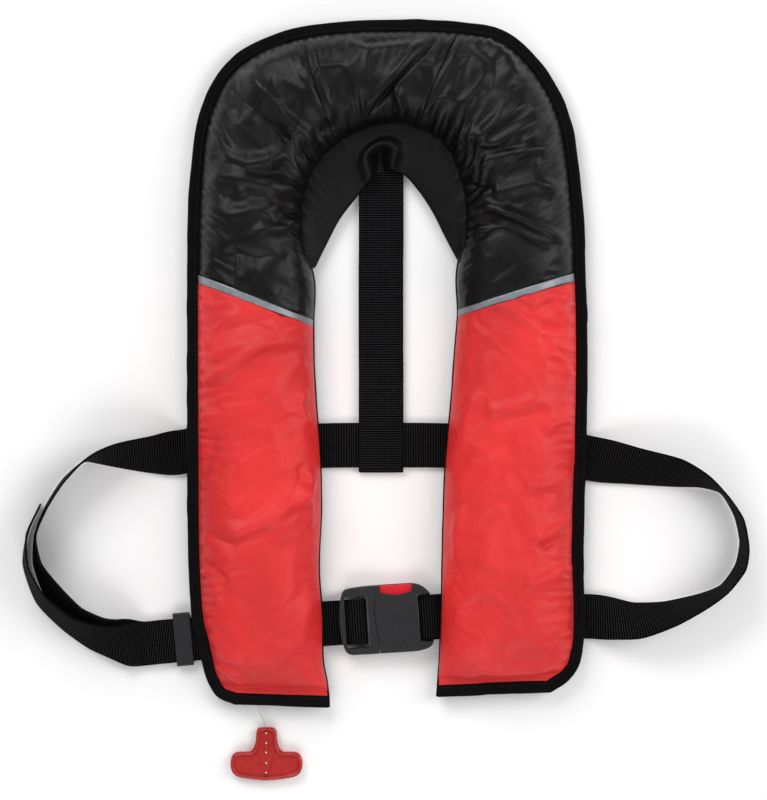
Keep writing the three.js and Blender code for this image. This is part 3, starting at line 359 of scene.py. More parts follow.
def add_stitches(name, points, thread, slot_name, size, rise=0.28, up=1.0):
    """A row of thread stitches along a line on a surface that faces up, or down with up=-1.

    size is a stitch's length and width, and the distance from one stitch to the next."""
    length, width, pitch = size
    pts = np.asarray(points, float)
    along = np.cumsum(np.linalg.norm(np.diff(pts, axis=0, prepend=pts[:1]), axis=1))
    count = max(int(along[-1] // pitch), 1)
    at = (np.arange(count) + 0.5) * along[-1] / count

    def pick(s):
        return np.column_stack([np.interp(s, along, pts[:, k]) for k in range(3)])

    middle = pick(at)
    ahead = pick(at + 0.5) - pick(at - 0.5)
    ahead /= np.maximum(np.linalg.norm(ahead, axis=1), 1e-9)[:, None]
    normal = np.array([0, 0, up])
    side = np.cross(ahead, normal)
    verts, faces = [], []
    for k in range(count):
        base = len(verts)
        for s, w, h in STITCH_PROFILE:
            for lateral, lift in STITCH_SECTION:
                verts.append(middle[k] + ahead[k] * s * length + side[k] * lateral * w * width / 2
                             + normal * (rise * (h * (lift + 0.25) - 0.15)))
        faces += [tuple(base + v for v in f) for f in grid_faces(len(STITCH_PROFILE), 4, wrap=True)]
        faces.append((base + 3, base + 2, base + 1, base))
        end = base + 4 * (len(STITCH_PROFILE) - 1)
        faces.append((end, end + 1, end + 2, end + 3))
    mesh = build_mesh(name, verts, faces, np.zeros((len(verts), 2)))
    return new_object(name, mesh, thread.material, slot_name)

# ---- the pull cord, from the firing lever's eye to the handle ----

CORD_ROUTE = [
    (-141, -226, 27), (-138.5, -234, 23), (-133, -244, 17), (-124, -256, 11.5), (-115, -266, 9.85),
    (-111.4, -274, 9.85), (-111, -284, 9.85), (-111, -296, 9.85), (-110.8, -304, 9.85),
    (-109.6, -308, 9.2), (-107.6, -312.5, 7.2), (-105.6, -317, 5), (-104.5, -321.3, 3.5),
]
CORD_DIAMETER = 1.5


def cord_curve(name, route, diameter, material, body):
    """A round cord as one smooth curve through the route."""
    points = catmull(route, np.linspace(0, 1, 4 * len(route)))
    data = bpy.data.curves.new(name, "CURVE")
    data.dimensions = "3D"
    data.bevel_depth = diameter / 2 * MM
    data.bevel_resolution = 4
    data.use_fill_caps = True
    spline = data.splines.new("POLY")
    spline.points.add(len(points) - 1)
    spline.points.foreach_set("co", np.column_stack([points * MM, np.ones(len(points))]).ravel())
    spline.use_smooth = True
    obj = bpy.data.objects.new(name, data)
    bpy.context.scene.collection.objects.link(obj)
    data.materials.append(material)
    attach(obj, body)
    length = float(np.linalg.norm(np.diff(points, axis=0), axis=1).sum()) * MM
    return obj, length


cord_white = Shader("cord_white", srgb(196, 195, 190), 0.75, sheen=0.3)
cord_white.bump(cord_white.wave(0.0009, "Z", "Object", distortion=1.5), 0.00012)
pull_cord, pull_length = cord_curve(
    "cord_to_handle", CORD_ROUTE, CORD_DIAMETER, cord_white.material, "handle")
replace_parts(pull_cord, "pull_cord")

# ---- the outline of the jacket ----

# Each rib runs across the cover, (inner x, inner y, outer x, outer y), from the left hem round to the right.
RIBS = [
    (-49, -303.5, -132, -301), (-49.5, -293, -147, -294), (-51, -281, -156, -280),
    (-54.5, -262, -162, -258), (-55, -225, -169.5, -222), (-58, -180, -172.5, -178),
    (-56, -130, -173.5, -130), (-57, -80, -173.8, -75), (-60.5, -35, -173.8, -20),
    (-62.5, 2, -173.8, 38), (-62.9, 36, -173.8, 79), (-62, 72, -173, 125),
    (-71, 109, -170.5, 172), (-71, 140, -162.4, 223.5), (-61.2, 171.6, -139.5, 265.8),
    (-40.9, 193.6, -95, 292), (-20.7, 205.5, -41, 302.5), (5.7, 212, 10, 304.5),
    (31.2, 207.6, 58, 303.5), (53.2, 193.6, 107, 294.5), (66.5, 168, 139.5, 265.8),
    (72, 143, 163.2, 223.5), (72.6, 117, 173, 172), (65.6, 80, 177.5, 122),
    (66.5, 45, 178.8, 80), (63.8, 10, 180.3, 34), (61, -30, 180.3, -25),
    (56, -85, 179.3, -80), (54, -130, 177.5, -130), (53, -175, 176.8, -175),
    (52, -220, 177.8, -220), (51, -248, 176.8, -248), (50, -266, 173, -266),
    (49, -282, 163, -280), (48, -294, 148, -290),
]
LAST_RIB = len(RIBS) - 1
LEFT_BAND, RIGHT_BAND = 10, 24
BAND_HALF = 0.085
LOWEST_RIB = 0.18
HEM_RIBS = 6

COVER_BASE = 9.0
FLANGE_Z = 11.9
FLANGE_WIDTH = 11.4
HEM_FLANGE = 17
CROWN = 38
CROWN_ROUND = 42
COVER_FABRIC = 1.2
FLANGE_INSET = 1.1
BINDING_WIDTH = 10.5
BINDING_LOW, BINDING_TOP = 10.8, 14.2

INNER = np.array([(r[0], r[1], 0) for r in RIBS], float)
OUTER = np.array([(r[2], r[3], 0) for r in RIBS], float)


def inner_at(rib):
    return catmull(INNER, np.atleast_1d(rib) / LAST_RIB)


def outer_at(rib):
    return catmull(OUTER, np.atleast_1d(rib) / LAST_RIB)


OUTER_LINE = outer_at(np.linspace(0, LAST_RIB, 4 * LAST_RIB + 1))[:, :2]


def puff(distance):
    x = np.clip(distance / CROWN_ROUND, 0, 1)
    return np.sqrt(1 - (1 - x) ** 2)


def hem_distance(rib, xy):
    """Distance from the bottom hem of the nearer lobe, less its flat part."""
    out = np.full(len(xy), 1e6)
    for end in (0, LAST_RIB):
        a, b = inner_at(end)[0, :2], outer_at(end)[0, :2]
        d = (b - a) / np.linalg.norm(b - a)
        near = np.abs(rib - end) <= HEM_RIBS
        off = xy - a
        out[near] = (np.abs(d[0] * off[:, 1] - d[1] * off[:, 0]) - HEM_FLANGE)[near]
    return out


def cover_surface(ribs, fractions):
    """The smooth puffed surface at a grid of ribs and fractions across, with distances to its seams."""
    ribs = np.broadcast_to(ribs if ribs.ndim == 2 else ribs[:, None], (len(ribs), len(fractions)))
    rib = ribs.ravel()
    inner, outer = inner_at(rib)[:, :2], outer_at(rib)[:, :2]
    width = np.linalg.norm(outer - inner, axis=1)
    s = np.tile(fractions, len(ribs)) * (1 - FLANGE_INSET / width)
    xy = inner + (outer - inner) * s[:, None]
    edge = segment_distance(xy, OUTER_LINE)[0]
    from_inner = s * width
    to_flange = edge - FLANGE_WIDTH
    to_hem = hem_distance(rib, xy)
    on_flange = np.maximum(2 * from_inner / (width - FLANGE_WIDTH), 1 - to_hem / CROWN_ROUND)
    base = COVER_BASE + (FLANGE_Z - COVER_BASE) * np.clip(on_flange, 0, 1)
    rise = puff(from_inner) * puff(to_flange) * puff(to_hem)
    grids = [a.reshape(ribs.shape) for a in (xy[:, 0], xy[:, 1], base + CROWN * rise + COVER_FABRIC,
                                             from_inner, to_flange, to_hem, rise, rib)]
    return dict(zip(("x", "y", "z", "in", "out", "hem", "rise", "rib"), grids))


def arc_length(line):
    return np.concatenate([[0], np.cumsum(np.linalg.norm(np.diff(line, axis=0), axis=1))])


FINE_RIBS = np.linspace(0, LAST_RIB, 60 * LAST_RIB + 1)
INNER_ARC = arc_length(inner_at(FINE_RIBS))
OUTER_ARC = arc_length(outer_at(FINE_RIBS))


def even_ribs(start, end, spacing):
    """Ribs from start to end, evenly spaced along the outer edge."""
    a, b = np.interp([start, end], FINE_RIBS, OUTER_ARC)
    count = max(int(abs(b - a) / spacing), 2)
    return np.interp(np.linspace(a, b, count + 1), OUTER_ARC, FINE_RIBS)


def cover_fractions(count):
    """Fractions across a rib, closer together near the two edges."""
    t = np.linspace(0, 1, count)
    return 0.5 - 0.5 * np.cos(math.pi * t) * (0.75 + 0.25 * np.cos(math.pi * t) ** 2)

# ---- cloth materials ----


def nylon(name, color, roughness, crinkle, specular):
    """Coated nylon: plain weave, fine crinkles, slow changes of tone and gloss."""
    s = Shader(name, color, roughness, specular=specular)
    s.tint(s.noise(14, 4), 0.86, 1.1)
    s.rough(s.noise(60, 3), roughness - 0.07, roughness + 0.09)
    s.bump(s.noise(190, 4, distortion=0.6), crinkle)
    weave = s.math("MULTIPLY", s.wave(0.0011, "X"), s.wave(0.0011, "Y"))
    s.bump(weave, 0.00006)
    return s.material


def tape(name, color, roughness=0.85):
    """Grosgrain tape: fine ribs across its length."""
    s = Shader(name, color, roughness, specular=0.1)
    s.tint(s.noise(90, 3), 0.75, 1.25)
    s.bump(s.wave(0.0012, "Y", distortion=0.4), 0.00018)
    s.bump(s.noise(900, 2), 0.0001)
    return s.material


red_nylon = nylon("red_nylon", srgb(217, 46, 47), 0.46, 0.00018, 0.28)
black_nylon = nylon("black_nylon", srgb(8, 8, 10), 0.36, 0.00022, 0.225)
binding_tape = tape("binding_tape", srgb(10, 9, 10))
thread_black = Shader("thread_black", srgb(26, 25, 26), 0.7, specular=0.2)
thread_black.bump(thread_black.wave(0.0005, "X", "Object", distortion=2), 0.00006)
thread_grey = Shader("thread_grey", srgb(150, 152, 156), 0.6, sheen=0.2)
thread_grey.bump(thread_grey.wave(0.0005, "X", "Object", distortion=2), 0.00006)

# Retroreflective tape: glass beads in a fine hexagonal print.
reflective = Shader("reflective_tape", srgb(130, 136, 142), 0.42, metallic=0.35, specular=0.7)
reflective.tint(reflective.noise(220, 3), 0.85, 1.12)
reflective.bump(reflective.math("MULTIPLY", reflective.wave(0.0016, "X", turn=0.6),
                                reflective.wave(0.0016, "Y", turn=0.6)), 0.00008)

# ---- covers ----


def gathers(grid, arc, amount, pitch, reach, key, seed):
    """Small pleats that start at a seam and fade over their reach."""
    warp = 0.9 * noise2(arc / (pitch * 4), grid[key] / 40, seed)
    wave = np.cos(2 * math.pi * (arc / pitch + warp))
    wave = np.where(wave > 0, wave, wave * 0.6)
    wave = wave + 0.5 * noise2(arc / (pitch * 0.55), grid[key] / 25, seed + 7)
    strength = 0.55 + 0.65 * np.abs(noise2(arc / (pitch * 2.3), 0 * arc, seed + 1))
    span = reach * (0.5 + 0.9 * np.abs(noise2(arc / (pitch * 1.7), 0 * arc + 3.3, seed + 2)))
    depth = np.maximum(grid[key], 0)
    fade = smooth(depth, -0.5, 4) * np.exp(-(depth / span) ** 1.6)
    return amount * wave * strength * fade


def red_wrinkles(grid, arcs, side):
    """Heights of the folds in one red lobe."""
    x, y = grid["x"], grid["y"]
    h = 0.9 * noise2(x / 46, y / 62, 11) * grid["rise"] + 0.35 * noise2(x / 17, y / 24, 12) * grid["rise"]
    h += 0.9 * (ridges((x + 0.8 * y) / 44, (y - 0.8 * x) / 17, 13 + side) - 0.4) * grid["rise"] * (
        0.35 + 0.65 * smooth(noise2(x / 70, y / 80, 15 + side), -0.2, 0.6))
    h += gathers(grid, arcs[1], 1.5, 11.5, 20, "out", 21 + side)
    h += gathers(grid, arcs[1], 0.9, 6.2, 11, "out", 25 + side)
    h += gathers(grid, arcs[0], 0.35, 15, 9, "in", 31 + side)
    return h * smooth(grid["hem"], -12, 14)


# Folds and creases: a line across the cloth, how wide it is, and how high, or deep if negative.
LEFT_FOLDS = [
    ([(-84, 24), (-118, 10), (-150, -14), (-166, -30)], 5, 2.6),
    ([(-118, 48), (-140, 34), (-158, 12), (-168, -8)], 5, 2.2),
    ([(-152, 62), (-160, 44), (-170, 30)], 4, 2.4),
    ([(-150, -34), (-158, -60), (-166, -84)], 6, 2.4),
    ([(-144, -60), (-154, -86), (-166, -108)], 6, -2.4),
    ([(-68, -20), (-74, -36), (-66, -58)], 4.5, 2.0),
    ([(-74, -104), (-66, -122), (-64, -146)], 4.5, 2.0),
    ([(-118, -282), (-136, -270), (-152, -262)], 4, 2.0),
    ([(-64, 36), (-98, 26), (-142, 9), (-164, 4)], 7, 2.4),
    ([(-66, 22), (-104, 15), (-133, -5), (-160, -17)], 6, 2.0),
    ([(-70, 48), (-104, 38), (-140, 30), (-165, 18)], 5, -1.6),
    ([(-64, 8), (-90, -10), (-110, -34)], 8, 1.5),
    ([(-68, -90), (-63, -104), (-78, -130)], 4, 2.2),
    ([(-76, -86), (-72, -100), (-86, -122)], 3.5, -1.5),
    ([(-60, -106), (-108, -141), (-149, -153)], 7, 2.6),
    ([(-92, -141), (-130, -158), (-158, -148)], 5, -2.2),
    ([(-160, -166), (-148, -180), (-132, -190)], 5, -1.8),
    ([(-162, -176), (-150, -192), (-140, -214)], 5, 1.8),
    ([(-94, -124), (-88, -142), (-92, -162)], 6, 1.6),
    ([(-160, -228), (-146, -246), (-124, -262)], 6, 1.8),
    ([(-60, -200), (-72, -226), (-74, -256)], 6, 1.4),
]
RIGHT_FOLDS = [
    ([(112, 62), (132, 52), (146, 60), (164, 52)], 4, 2.4),
    ([(118, 48), (138, 34), (160, 30)], 4, -2.0),
    ([(150, 72), (160, 58), (172, 52)], 4, 2.4),
    ([(136, -60), (154, -50), (170, -40)], 5, 2.2),
    ([(120, -196), (146, -186), (168, -174)], 5, 2.0),
    ([(70, -120), (64, -150), (66, -180)], 5, 1.8),
    ([(70, 50), (97, 54), (127, 38), (150, 45)], 6, 2.0),
    ([(166, 78), (152, 50), (170, 29)], 5, 2.2),
    ([(141, 15), (155, 4), (171, -15)], 5, 2.4),
    ([(134, 24), (150, 14), (168, 2)], 4, -1.6),
    ([(86, -44), (118, -37), (143, -28)], 6, 1.8),
    ([(90, -52), (120, -46), (150, -42)], 5, -1.4),
    ([(122, -109), (146, -104), (168, -96)], 5, 1.8),
    ([(130, -157), (152, -143), (166, -133)], 4.5, 3.0),
    ([(134, -164), (156, -152), (168, -140)], 4, -2.2),
    ([(81, -19), (74, -52), (65, -84)], 8, 2.0),
    ([(108, -118), (92, -150), (88, -186)], 9, 1.6),
    ([(166, -212), (156, -226), (164, -236)], 4, 1.8),
    ([(60, -276), (88, -268), (120, -271), (150, -265)], 4.5, 1.9),
    ([(64, -280), (100, -277), (140, -277)], 3.5, -0.6),
    ([(160, -252), (148, -262), (134, -266)], 5, 1.6),
]


def cover_grid(start, end, spacing=1.9, count=84):
    """A cover panel between two seams, each given by its ribs at the inner and the outer edge."""
    fractions = cover_fractions(count)
    (s0, s1), (e0, e1) = start, end
    steps = np.interp(even_ribs((s0 + s1) / 2, (e0 + e1) / 2, spacing), [(s0 + s1) / 2, (e0 + e1) / 2],
                      [0, 1])[:, None]
    ribs = (s0 + (s1 - s0) * fractions) * (1 - steps) + (e0 + (e1 - e0) * fractions) * steps
    grid = cover_surface(ribs, fractions)
    return grid, tuple(np.interp(ribs, FINE_RIBS, arc) for arc in (INNER_ARC, OUTER_ARC))


def surface_points(grid, height):
    """The grid's points, moved out along the smooth surface's normal by height."""
    p = np.stack([grid["x"], grid["y"], grid["z"]], axis=2)
    n = np.cross(np.gradient(p, axis=1), np.gradient(p, axis=0))
    n /= np.maximum(np.linalg.norm(n, axis=2), 1e-9)[..., None]
    n *= np.sign(n[..., 2:3] + 1e-9)
    bound = np.minimum(grid["out"], grid["hem"] + 6)
    p[..., 2] -= 0.7 * (1 - smooth(bound, -5, 3))
    return p + n * height[..., None]


def surface_area(points):
    """Area in square metres of a surface given as a grid of points in millimetres."""
    one_way = points[1:, 1:] - points[:-1, :-1]
    other_way = points[1:, :-1] - points[:-1, 1:]
    return np.linalg.norm(np.cross(one_way, other_way), axis=2).sum() / 2 * MM ** 2


def add_sheet(name, points, material, slot_name, node, flat, thickness=0.7, cut_area=None):
    """A cloth piece that stands for a CAD node; flat, the size of its flat cut in metres, is not used.

    cut_area is the area that went into the simulation; a piece without one isn't simulated."""
    obj = new_object(name, sheet_mesh(name, points), material, slot_name)
    thicken(obj, thickness)
    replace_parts(obj, node)
    surface_area(points) if cut_area is None else cut_area


CLOTH_FRAMES = 14
CLOTH_PRESSURE = 0.5
CLOTH_REACH = 3.5


def settled(name, points, held, grow=0.012, bending=0.35):
    """Cloth simulation: the panel is cut a little too large, so it puckers between its sewn edges.

    held is 1 where the cloth is sewn down and 0 where it is free. CLOTH_REACH caps how far it may move.
    Also returns the area that the panel was cut to, in square metres."""
    obj = bpy.data.objects.new(name, sheet_mesh(name, points))
    bpy.context.scene.collection.objects.link(obj)
    group = obj.vertex_groups.new(name="sewn")
    for index, weight in enumerate(held.ravel()):
        group.add([index], float(weight), "REPLACE")
    cloth = obj.modifiers.new("cloth", "CLOTH")
    settings = cloth.settings
    settings.quality = 6
    settings.mass = 0.12
    settings.air_damping = 4.0
    settings.tension_stiffness = 18
    settings.compression_stiffness = 18
    settings.shear_stiffness = 6
    settings.bending_stiffness = bending
    settings.shrink_min = -grow
    settings.use_pressure = True
    settings.uniform_pressure_force = CLOTH_PRESSURE
    settings.vertex_group_mass = "sewn"
    settings.effector_weights.gravity = 0
    cloth.collision_settings.use_collision = False
    cloth.point_cache.frame_start = 1
    cloth.point_cache.frame_end = CLOTH_FRAMES
    for frame_number in range(1, CLOTH_FRAMES + 1):
        bpy.context.scene.frame_set(frame_number)
    evaluated = obj.evaluated_get(bpy.context.evaluated_depsgraph_get())
    moved = np.array([v.co for v in evaluated.to_mesh().vertices]).reshape(points.shape) / MM
    evaluated.to_mesh_clear()
    bpy.context.scene.frame_set(1)
    mesh = obj.data
    bpy.data.objects.remove(obj)
    bpy.data.meshes.remove(mesh)
    shift = moved - points
    length = np.linalg.norm(shift, axis=2, keepdims=True)
    share = np.minimum(1, CLOTH_REACH / np.maximum(length, 1e-6)) * (1 - held[..., None])
    return points + shift * share, surface_area(points) * (1 + grow) ** 2


def sewn_edges(grid):
    """Where a panel is held: its seams, its hem and its inner edge."""
    near = np.minimum(np.minimum(grid["in"], grid["out"] + 1), grid["hem"] + 1)
    held = 1 - smooth(near, 1.0, 7.0)
    held[0], held[-1] = 1, 1
    held[:, 0], held[:, -1] = 1, 1
    return held


SEAM = 0.006
SEAM_REACH = 0.93  # seams and reflective strips stop under the binding, at this share of the width
RED_FOLD_GAIN = 1.7
LOBES = [
    ("left", LOWEST_RIB, LEFT_BAND - BAND_HALF - SEAM, LEFT_FOLDS),
    ("right", RIGHT_BAND + BAND_HALF + SEAM, LAST_RIB - LOWEST_RIB, RIGHT_FOLDS),
]
for index, (side, first, last, folds) in enumerate(LOBES):
    grid, arcs = cover_grid((first,) * 2, (last,) * 2)
    height = add_folds(grid, red_wrinkles(grid, arcs, index), folds, RED_FOLD_GAIN)
    points, cut_area = settled("lobe", surface_points(grid, height), sewn_edges(grid))
    add_sheet(f"red_cover_{side}", points, red_nylon, "red_nylon", f"front_cover_{side}",
              (0.17, 0.40), cut_area=cut_area)

YOKE_FOLDS = [
    ([(-126, 263), (-103, 236), (-69, 197), (-51, 186)], 6, 3.4),
    ([(-138, 246), (-108, 216), (-72, 186)], 5, -2.6),
    ([(-133, 266), (-134, 236), (-124, 210)], 7, -2.8),
    ([(-149, 183), (-119, 173), (-80, 183)], 7, 3.4),
    ([(-158, 187), (-137, 177), (-106, 166), (-78, 168)], 5, -3.0),
    ([(-156, 164), (-133, 164), (-103, 157), (-71, 143)], 7, 3.0),
    ([(-128, 152), (-98, 144), (-74, 138)], 5, -2.2),
    ([(-160, 140), (-133, 130), (-84, 139)], 8, 2.4),
    ([(-142, 100), (-110, 93), (-82, 97)], 6, -2.4),
    ([(-115, 116), (-87, 120), (-70, 130)], 6, 2.2),
    ([(58, 196), (86, 201), (113, 220), (128, 234)], 6, 3.2),
    ([(62, 184), (100, 194), (132, 212), (152, 218)], 5, 2.4),
    ([(66, 190), (98, 186), (124, 192)], 5, -2.4),
    ([(72, 169), (104, 183), (138, 188), (158, 194)], 6, 2.6),
    ([(70, 146), (97, 150), (132, 158), (160, 150)], 7, 3.0),
    ([(66, 162), (82, 153), (100, 153)], 5, -2.8),
    ([(72, 134), (93, 137), (120, 127), (162, 104)], 5, 3.8),
    ([(78, 124), (108, 120), (146, 100)], 6, -2.4),
    ([(74, 286), (98, 264), (95, 240), (82, 226)], 7, -3.0),
    ([(82, 291), (108, 268), (116, 242)], 7, 2.8),
    ([(11, 242), (17, 224), (14, 214)], 4, 2.4),
    ([(-32, 293), (-18, 281), (6, 284), (38, 289)], 5, -2.6),
    ([(-34, 286), (-14, 272), (14, 276), (36, 284)], 8, 2.0),
    ([(-70, 262), (-62, 232), (-48, 204)], 8, 2.2),
    ([(-18, 212), (0, 233), (28, 264), (51, 291)], 1.8, -3.0),
    ([(-22, 216), (-5, 237), (23, 268), (45, 292)], 5, 2.4),
]
YOKE_FOLD_GAIN = 1.55
YOKE_GROW = 0.014
YOKE_BENDING = 0.9


def gather_weight(rib):
    """The neck seam is gathered over its two flanks and plain at the back of the neck."""
    left = smooth(rib, 11.6, 12.8) * (1 - smooth(rib, 14.6, 15.4))
    right = smooth(rib, 17.7, 18.4) * (1 - smooth(rib, 21.6, 23))
    return 0.18 + 0.82 * (left + right)


def yoke_wrinkles(grid, arcs):
    """Heights of the gathers round the neck seam and the creases that fan out of them."""
    x, y = grid["x"], grid["y"]
    fan = arcs[0] / 21 + 0.6 * noise2(arcs[0] / 60, grid["in"] / 60, 41)
    weight = gather_weight(grid["rib"])
    h = 2.2 * weight * (ridges(fan, grid["in"] / 70, 42) - 0.35) * np.exp(-(grid["in"] / 62) ** 2)
    h += 1.6 * (ridges(arcs[1] / 52 + 0.5 * noise2(x / 60, y / 60, 43), grid["out"] / 60, 44) - 0.4)
    h += 2.4 * noise2(x / 50, y / 50, 45) + 0.2 * noise2(x / 15, y / 15, 46)
    h *= smooth(grid["in"], 1, 16) * smooth(grid["out"], -2, 18)
    h += gathers(grid, arcs[0], 1.3, 7.0, 26, "in", 51) * weight
    h += gathers(grid, arcs[0], 1.7, 13.5, 52, "in", 55) * weight
    h += gathers(grid, arcs[1], 1.1, 9.0, 18, "out", 61)
    return add_folds(grid, h, YOKE_FOLDS, YOKE_FOLD_GAIN)


def seam_line(inner_rib, outer_rib, count=160):
    """A seam across the yoke, as the points of its line."""
    grid = cover_surface(np.linspace(inner_rib, outer_rib, count)[None, :] + np.zeros((2, 1)),
                         np.linspace(0, SEAM_REACH, count))
    return grid["x"][0], grid["y"][0]


LEFT_SEAM = (15.0, 15.42)
RIGHT_SEAM = (17.95, 18.25)
YOKE_PARTS = [
    ("yoke_fabric_left", "yoke_left", (LEFT_BAND + BAND_HALF + SEAM,) * 2, LEFT_SEAM, (0.22, 0.42)),
    ("yoke_fabric_back", "yoke_back", LEFT_SEAM, RIGHT_SEAM, (0.15, 0.19)),
    ("yoke_fabric_right", "yoke_right", RIGHT_SEAM, (RIGHT_BAND - BAND_HALF - SEAM,) * 2, (0.22, 0.42)),
]
for name, node, start, end, flat in YOKE_PARTS:
    grid, arcs = cover_grid(start, end)
    height = yoke_wrinkles(grid, arcs)
    for seam in (LEFT_SEAM, RIGHT_SEAM):
        line = np.column_stack(seam_line(*seam))[::8]
        pull = add_fold(grid["x"], grid["y"], 0 * height, line, 2.6, -1.5)
        pull = add_fold(grid["x"], grid["y"], pull, line + (5.5, 1.5), 3.0, 0.9)
        height = height + pull * smooth(grid["rise"], 0.1, 0.6)
    points, cut_area = settled("yoke", surface_points(grid, height), sewn_edges(grid), YOKE_GROW,
                               YOKE_BENDING)
    add_sheet(name, points, black_nylon, "black_nylon", node, flat,
              cut_area=cut_area)
    if node != "yoke_left":
        row = points[2, 6:-14] + np.array([0, 0, 0.1])
        side_name = "left" if node == "yoke_back" else "right"
        add_stitches(f"seam_stitches_{side_name}", row, thread_black, "black_nylon", (2.6, 0.55, 3.4))

for side, rib in (("left", LEFT_BAND), ("right", RIGHT_BAND)):
    ribs = np.linspace(rib - BAND_HALF, rib + BAND_HALF, 6)
    grid = cover_surface(ribs, cover_fractions(150) * SEAM_REACH)
    height = 0.35 + 0.3 * noise2(grid["x"] / 12, grid["y"] / 12, 71)
    points = surface_points(grid, height)
    strip = new_object(f"reflective_strip_{side}", sheet_mesh(f"reflective_strip_{side}", points),
                       reflective.material, "reflective")
    thicken(strip, 0.5)
    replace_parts(strip, f"reflective_band_{side}")
    for k, row in enumerate((1, 4)):
        add_stitches(f"band_stitches_{side}_{k}", points[row], thread_grey, "reflective", (2.2, 0.4, 3.0))

# ---- binding tape round the outer edge ----


def edge_frames(ribs, line_at=outer_at, back_at=inner_at):
    """Points along an edge of the jacket, and the level directions in from it."""
    at = line_at(ribs)
    ahead = line_at(np.minimum(ribs + 0.05, LAST_RIB)) - line_at(np.maximum(ribs - 0.05, 0))
    ahead /= np.linalg.norm(ahead, axis=1)[:, None]
    side = np.column_stack([-ahead[:, 1], ahead[:, 0], np.zeros(len(ribs))])
    inward = back_at(ribs) - at
    side *= np.sign((side * inward).sum(axis=1))[:, None]
    return at, side


def hem_run(end):
    """The bottom hem of one lobe as points and inward directions, from its inner to its outer end."""
    inner, outer = inner_at(end)[0], outer_at(end)[0]
    t = np.linspace(0, 1, 30)[:, None]
    points = inner + (outer - inner) * t
    along = (outer - inner) / np.linalg.norm(outer - inner)
    side = np.array([-along[1], along[0], 0.0])
    side *= np.sign(side[1])
    return points, np.tile(side, (30, 1))


def rounded_turn(sides):
    """Sides averaged over their neighbours, so that a strip turns a corner without a fold."""
    for _ in range(3):
        sides = np.vstack([sides[:1], (sides[:-2] + 2 * sides[1:-1] + sides[2:]), sides[-1:]])
        sides /= np.linalg.norm(sides, axis=1)[:, None]
    return sides


def outer_path():
    """The whole bound edge: left hem, outer edge, right hem."""
    left, left_side = hem_run(0)
    edge, edge_side = edge_frames(even_ribs(0, LAST_RIB, 2.5))
    right, right_side = hem_run(LAST_RIB)
    points = np.vstack([left[:-1], edge, right[::-1][1:]])
    sides = np.vstack([left_side[:-1], edge_side, right_side[::-1][1:]])
    return points, rounded_turn(sides)


def strip_rings(points, sides, section, wobble, seed):
    """Rings of a section of (inset, height) points swept along an edge."""
    along = arc_length(points)
    rings = []
    for k, (inset, z) in enumerate(section):
        shift = wobble * noise2(along / 16, 0 * along + k * 0.37, seed)
        lift = 0.35 * wobble * noise2(along / 11, 0 * along + k * 0.21 + 9, seed + 1)
        ring = points + sides * (inset + shift)[:, None]
        ring[:, 2] = z + lift * (1 if z > section[0][1] + 0.5 else 0.2)
        rings.append(ring)
    return np.stack(rings, axis=1)


def folded_section(width, low, top):
    """A tape folded over an edge: round outside, pillowed between its edge and its stitching."""
    mid = (low + top) / 2
    h = (top - low) / 2
    rows = [(0.9, -1.0), (0.25, -0.72), (0.0, 0.0), (0.25, 0.72), (0.9, 1.02), (2.6, 1.16),
            (4.6, 1.14), (6.4, 1.05), (7.6, 0.86), (8.4, 0.98), (9.4, 1.0), (width, 0.8),
            (width, -0.8), (8.4, -1.0), (4.5, -1.05)]
    return [(x, mid + h * y) for x, y in rows]


bound_points, bound_sides = outer_path()
section = folded_section(BINDING_WIDTH, BINDING_LOW, BINDING_TOP)
rings = strip_rings(bound_points, bound_sides, section, 0.5, 81)
binding = new_object("binding_front", tube_mesh("binding_front", rings), binding_tape,
                     "binding_tape")
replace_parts(binding, "edge_binding")

BINDING_STITCH = (2.7, 0.6, 3.7)
add_stitches("binding_stitches", rings[:, 8] + (0, 0, 0.15), thread_black, "binding_tape", BINDING_STITCH)

# ---- back panel with its own bound edge ----

BACK_PANEL_Z = 8.2
back_ribs = np.linspace(0, LAST_RIB, 300)
back_s = np.linspace(-0.012, 1.0, 60)
inner, outer = inner_at(back_ribs), outer_at(back_ribs)
points = inner[:, None, :] + (outer - inner)[:, None, :] * back_s[None, :, None]
undulation = (0.45 * noise2(points[..., 0] / 38, points[..., 1] / 38, 91)
              + 0.3 * ridges(points[..., 0] / 60, points[..., 1] / 26, 92))
points[..., 2] = BACK_PANEL_Z + undulation * 0.6
add_sheet("back_panel", points, black_nylon, "black_nylon", "back_cover", (0.33, 1.05),
          thickness=0.9)

back_section = [(x * 0.9, z) for x, z in folded_section(9.0, 6.7, 9.4)]
rings = strip_rings(bound_points, bound_sides, back_section, 0.25, 95)
new_object("binding_back", tube_mesh("binding_back", rings), binding_tape, "binding_tape")
add_stitches("back_stitches", rings[:, 14] - (0, 0, 0.1), thread_black, "binding_tape", BINDING_STITCH,
             up=-1.0)

# Piping along the inner edge, where the cover meets the back panel.
inner_ribs = np.linspace(0, LAST_RIB, 700)
at, side = edge_frames(inner_ribs, inner_at, outer_at)
piping = [(-1.8 + 1.35 * (1 - math.cos(a)), 9.4 + 1.3 * math.sin(a))
          for a in np.linspace(0, 2 * math.pi, 8, endpoint=False)]
rings = strip_rings(at, side, piping, 0.15, 97)
new_object("inner_piping", tube_mesh("inner_piping", rings), binding_tape, "binding_tape")

# ---- webbing harness ----

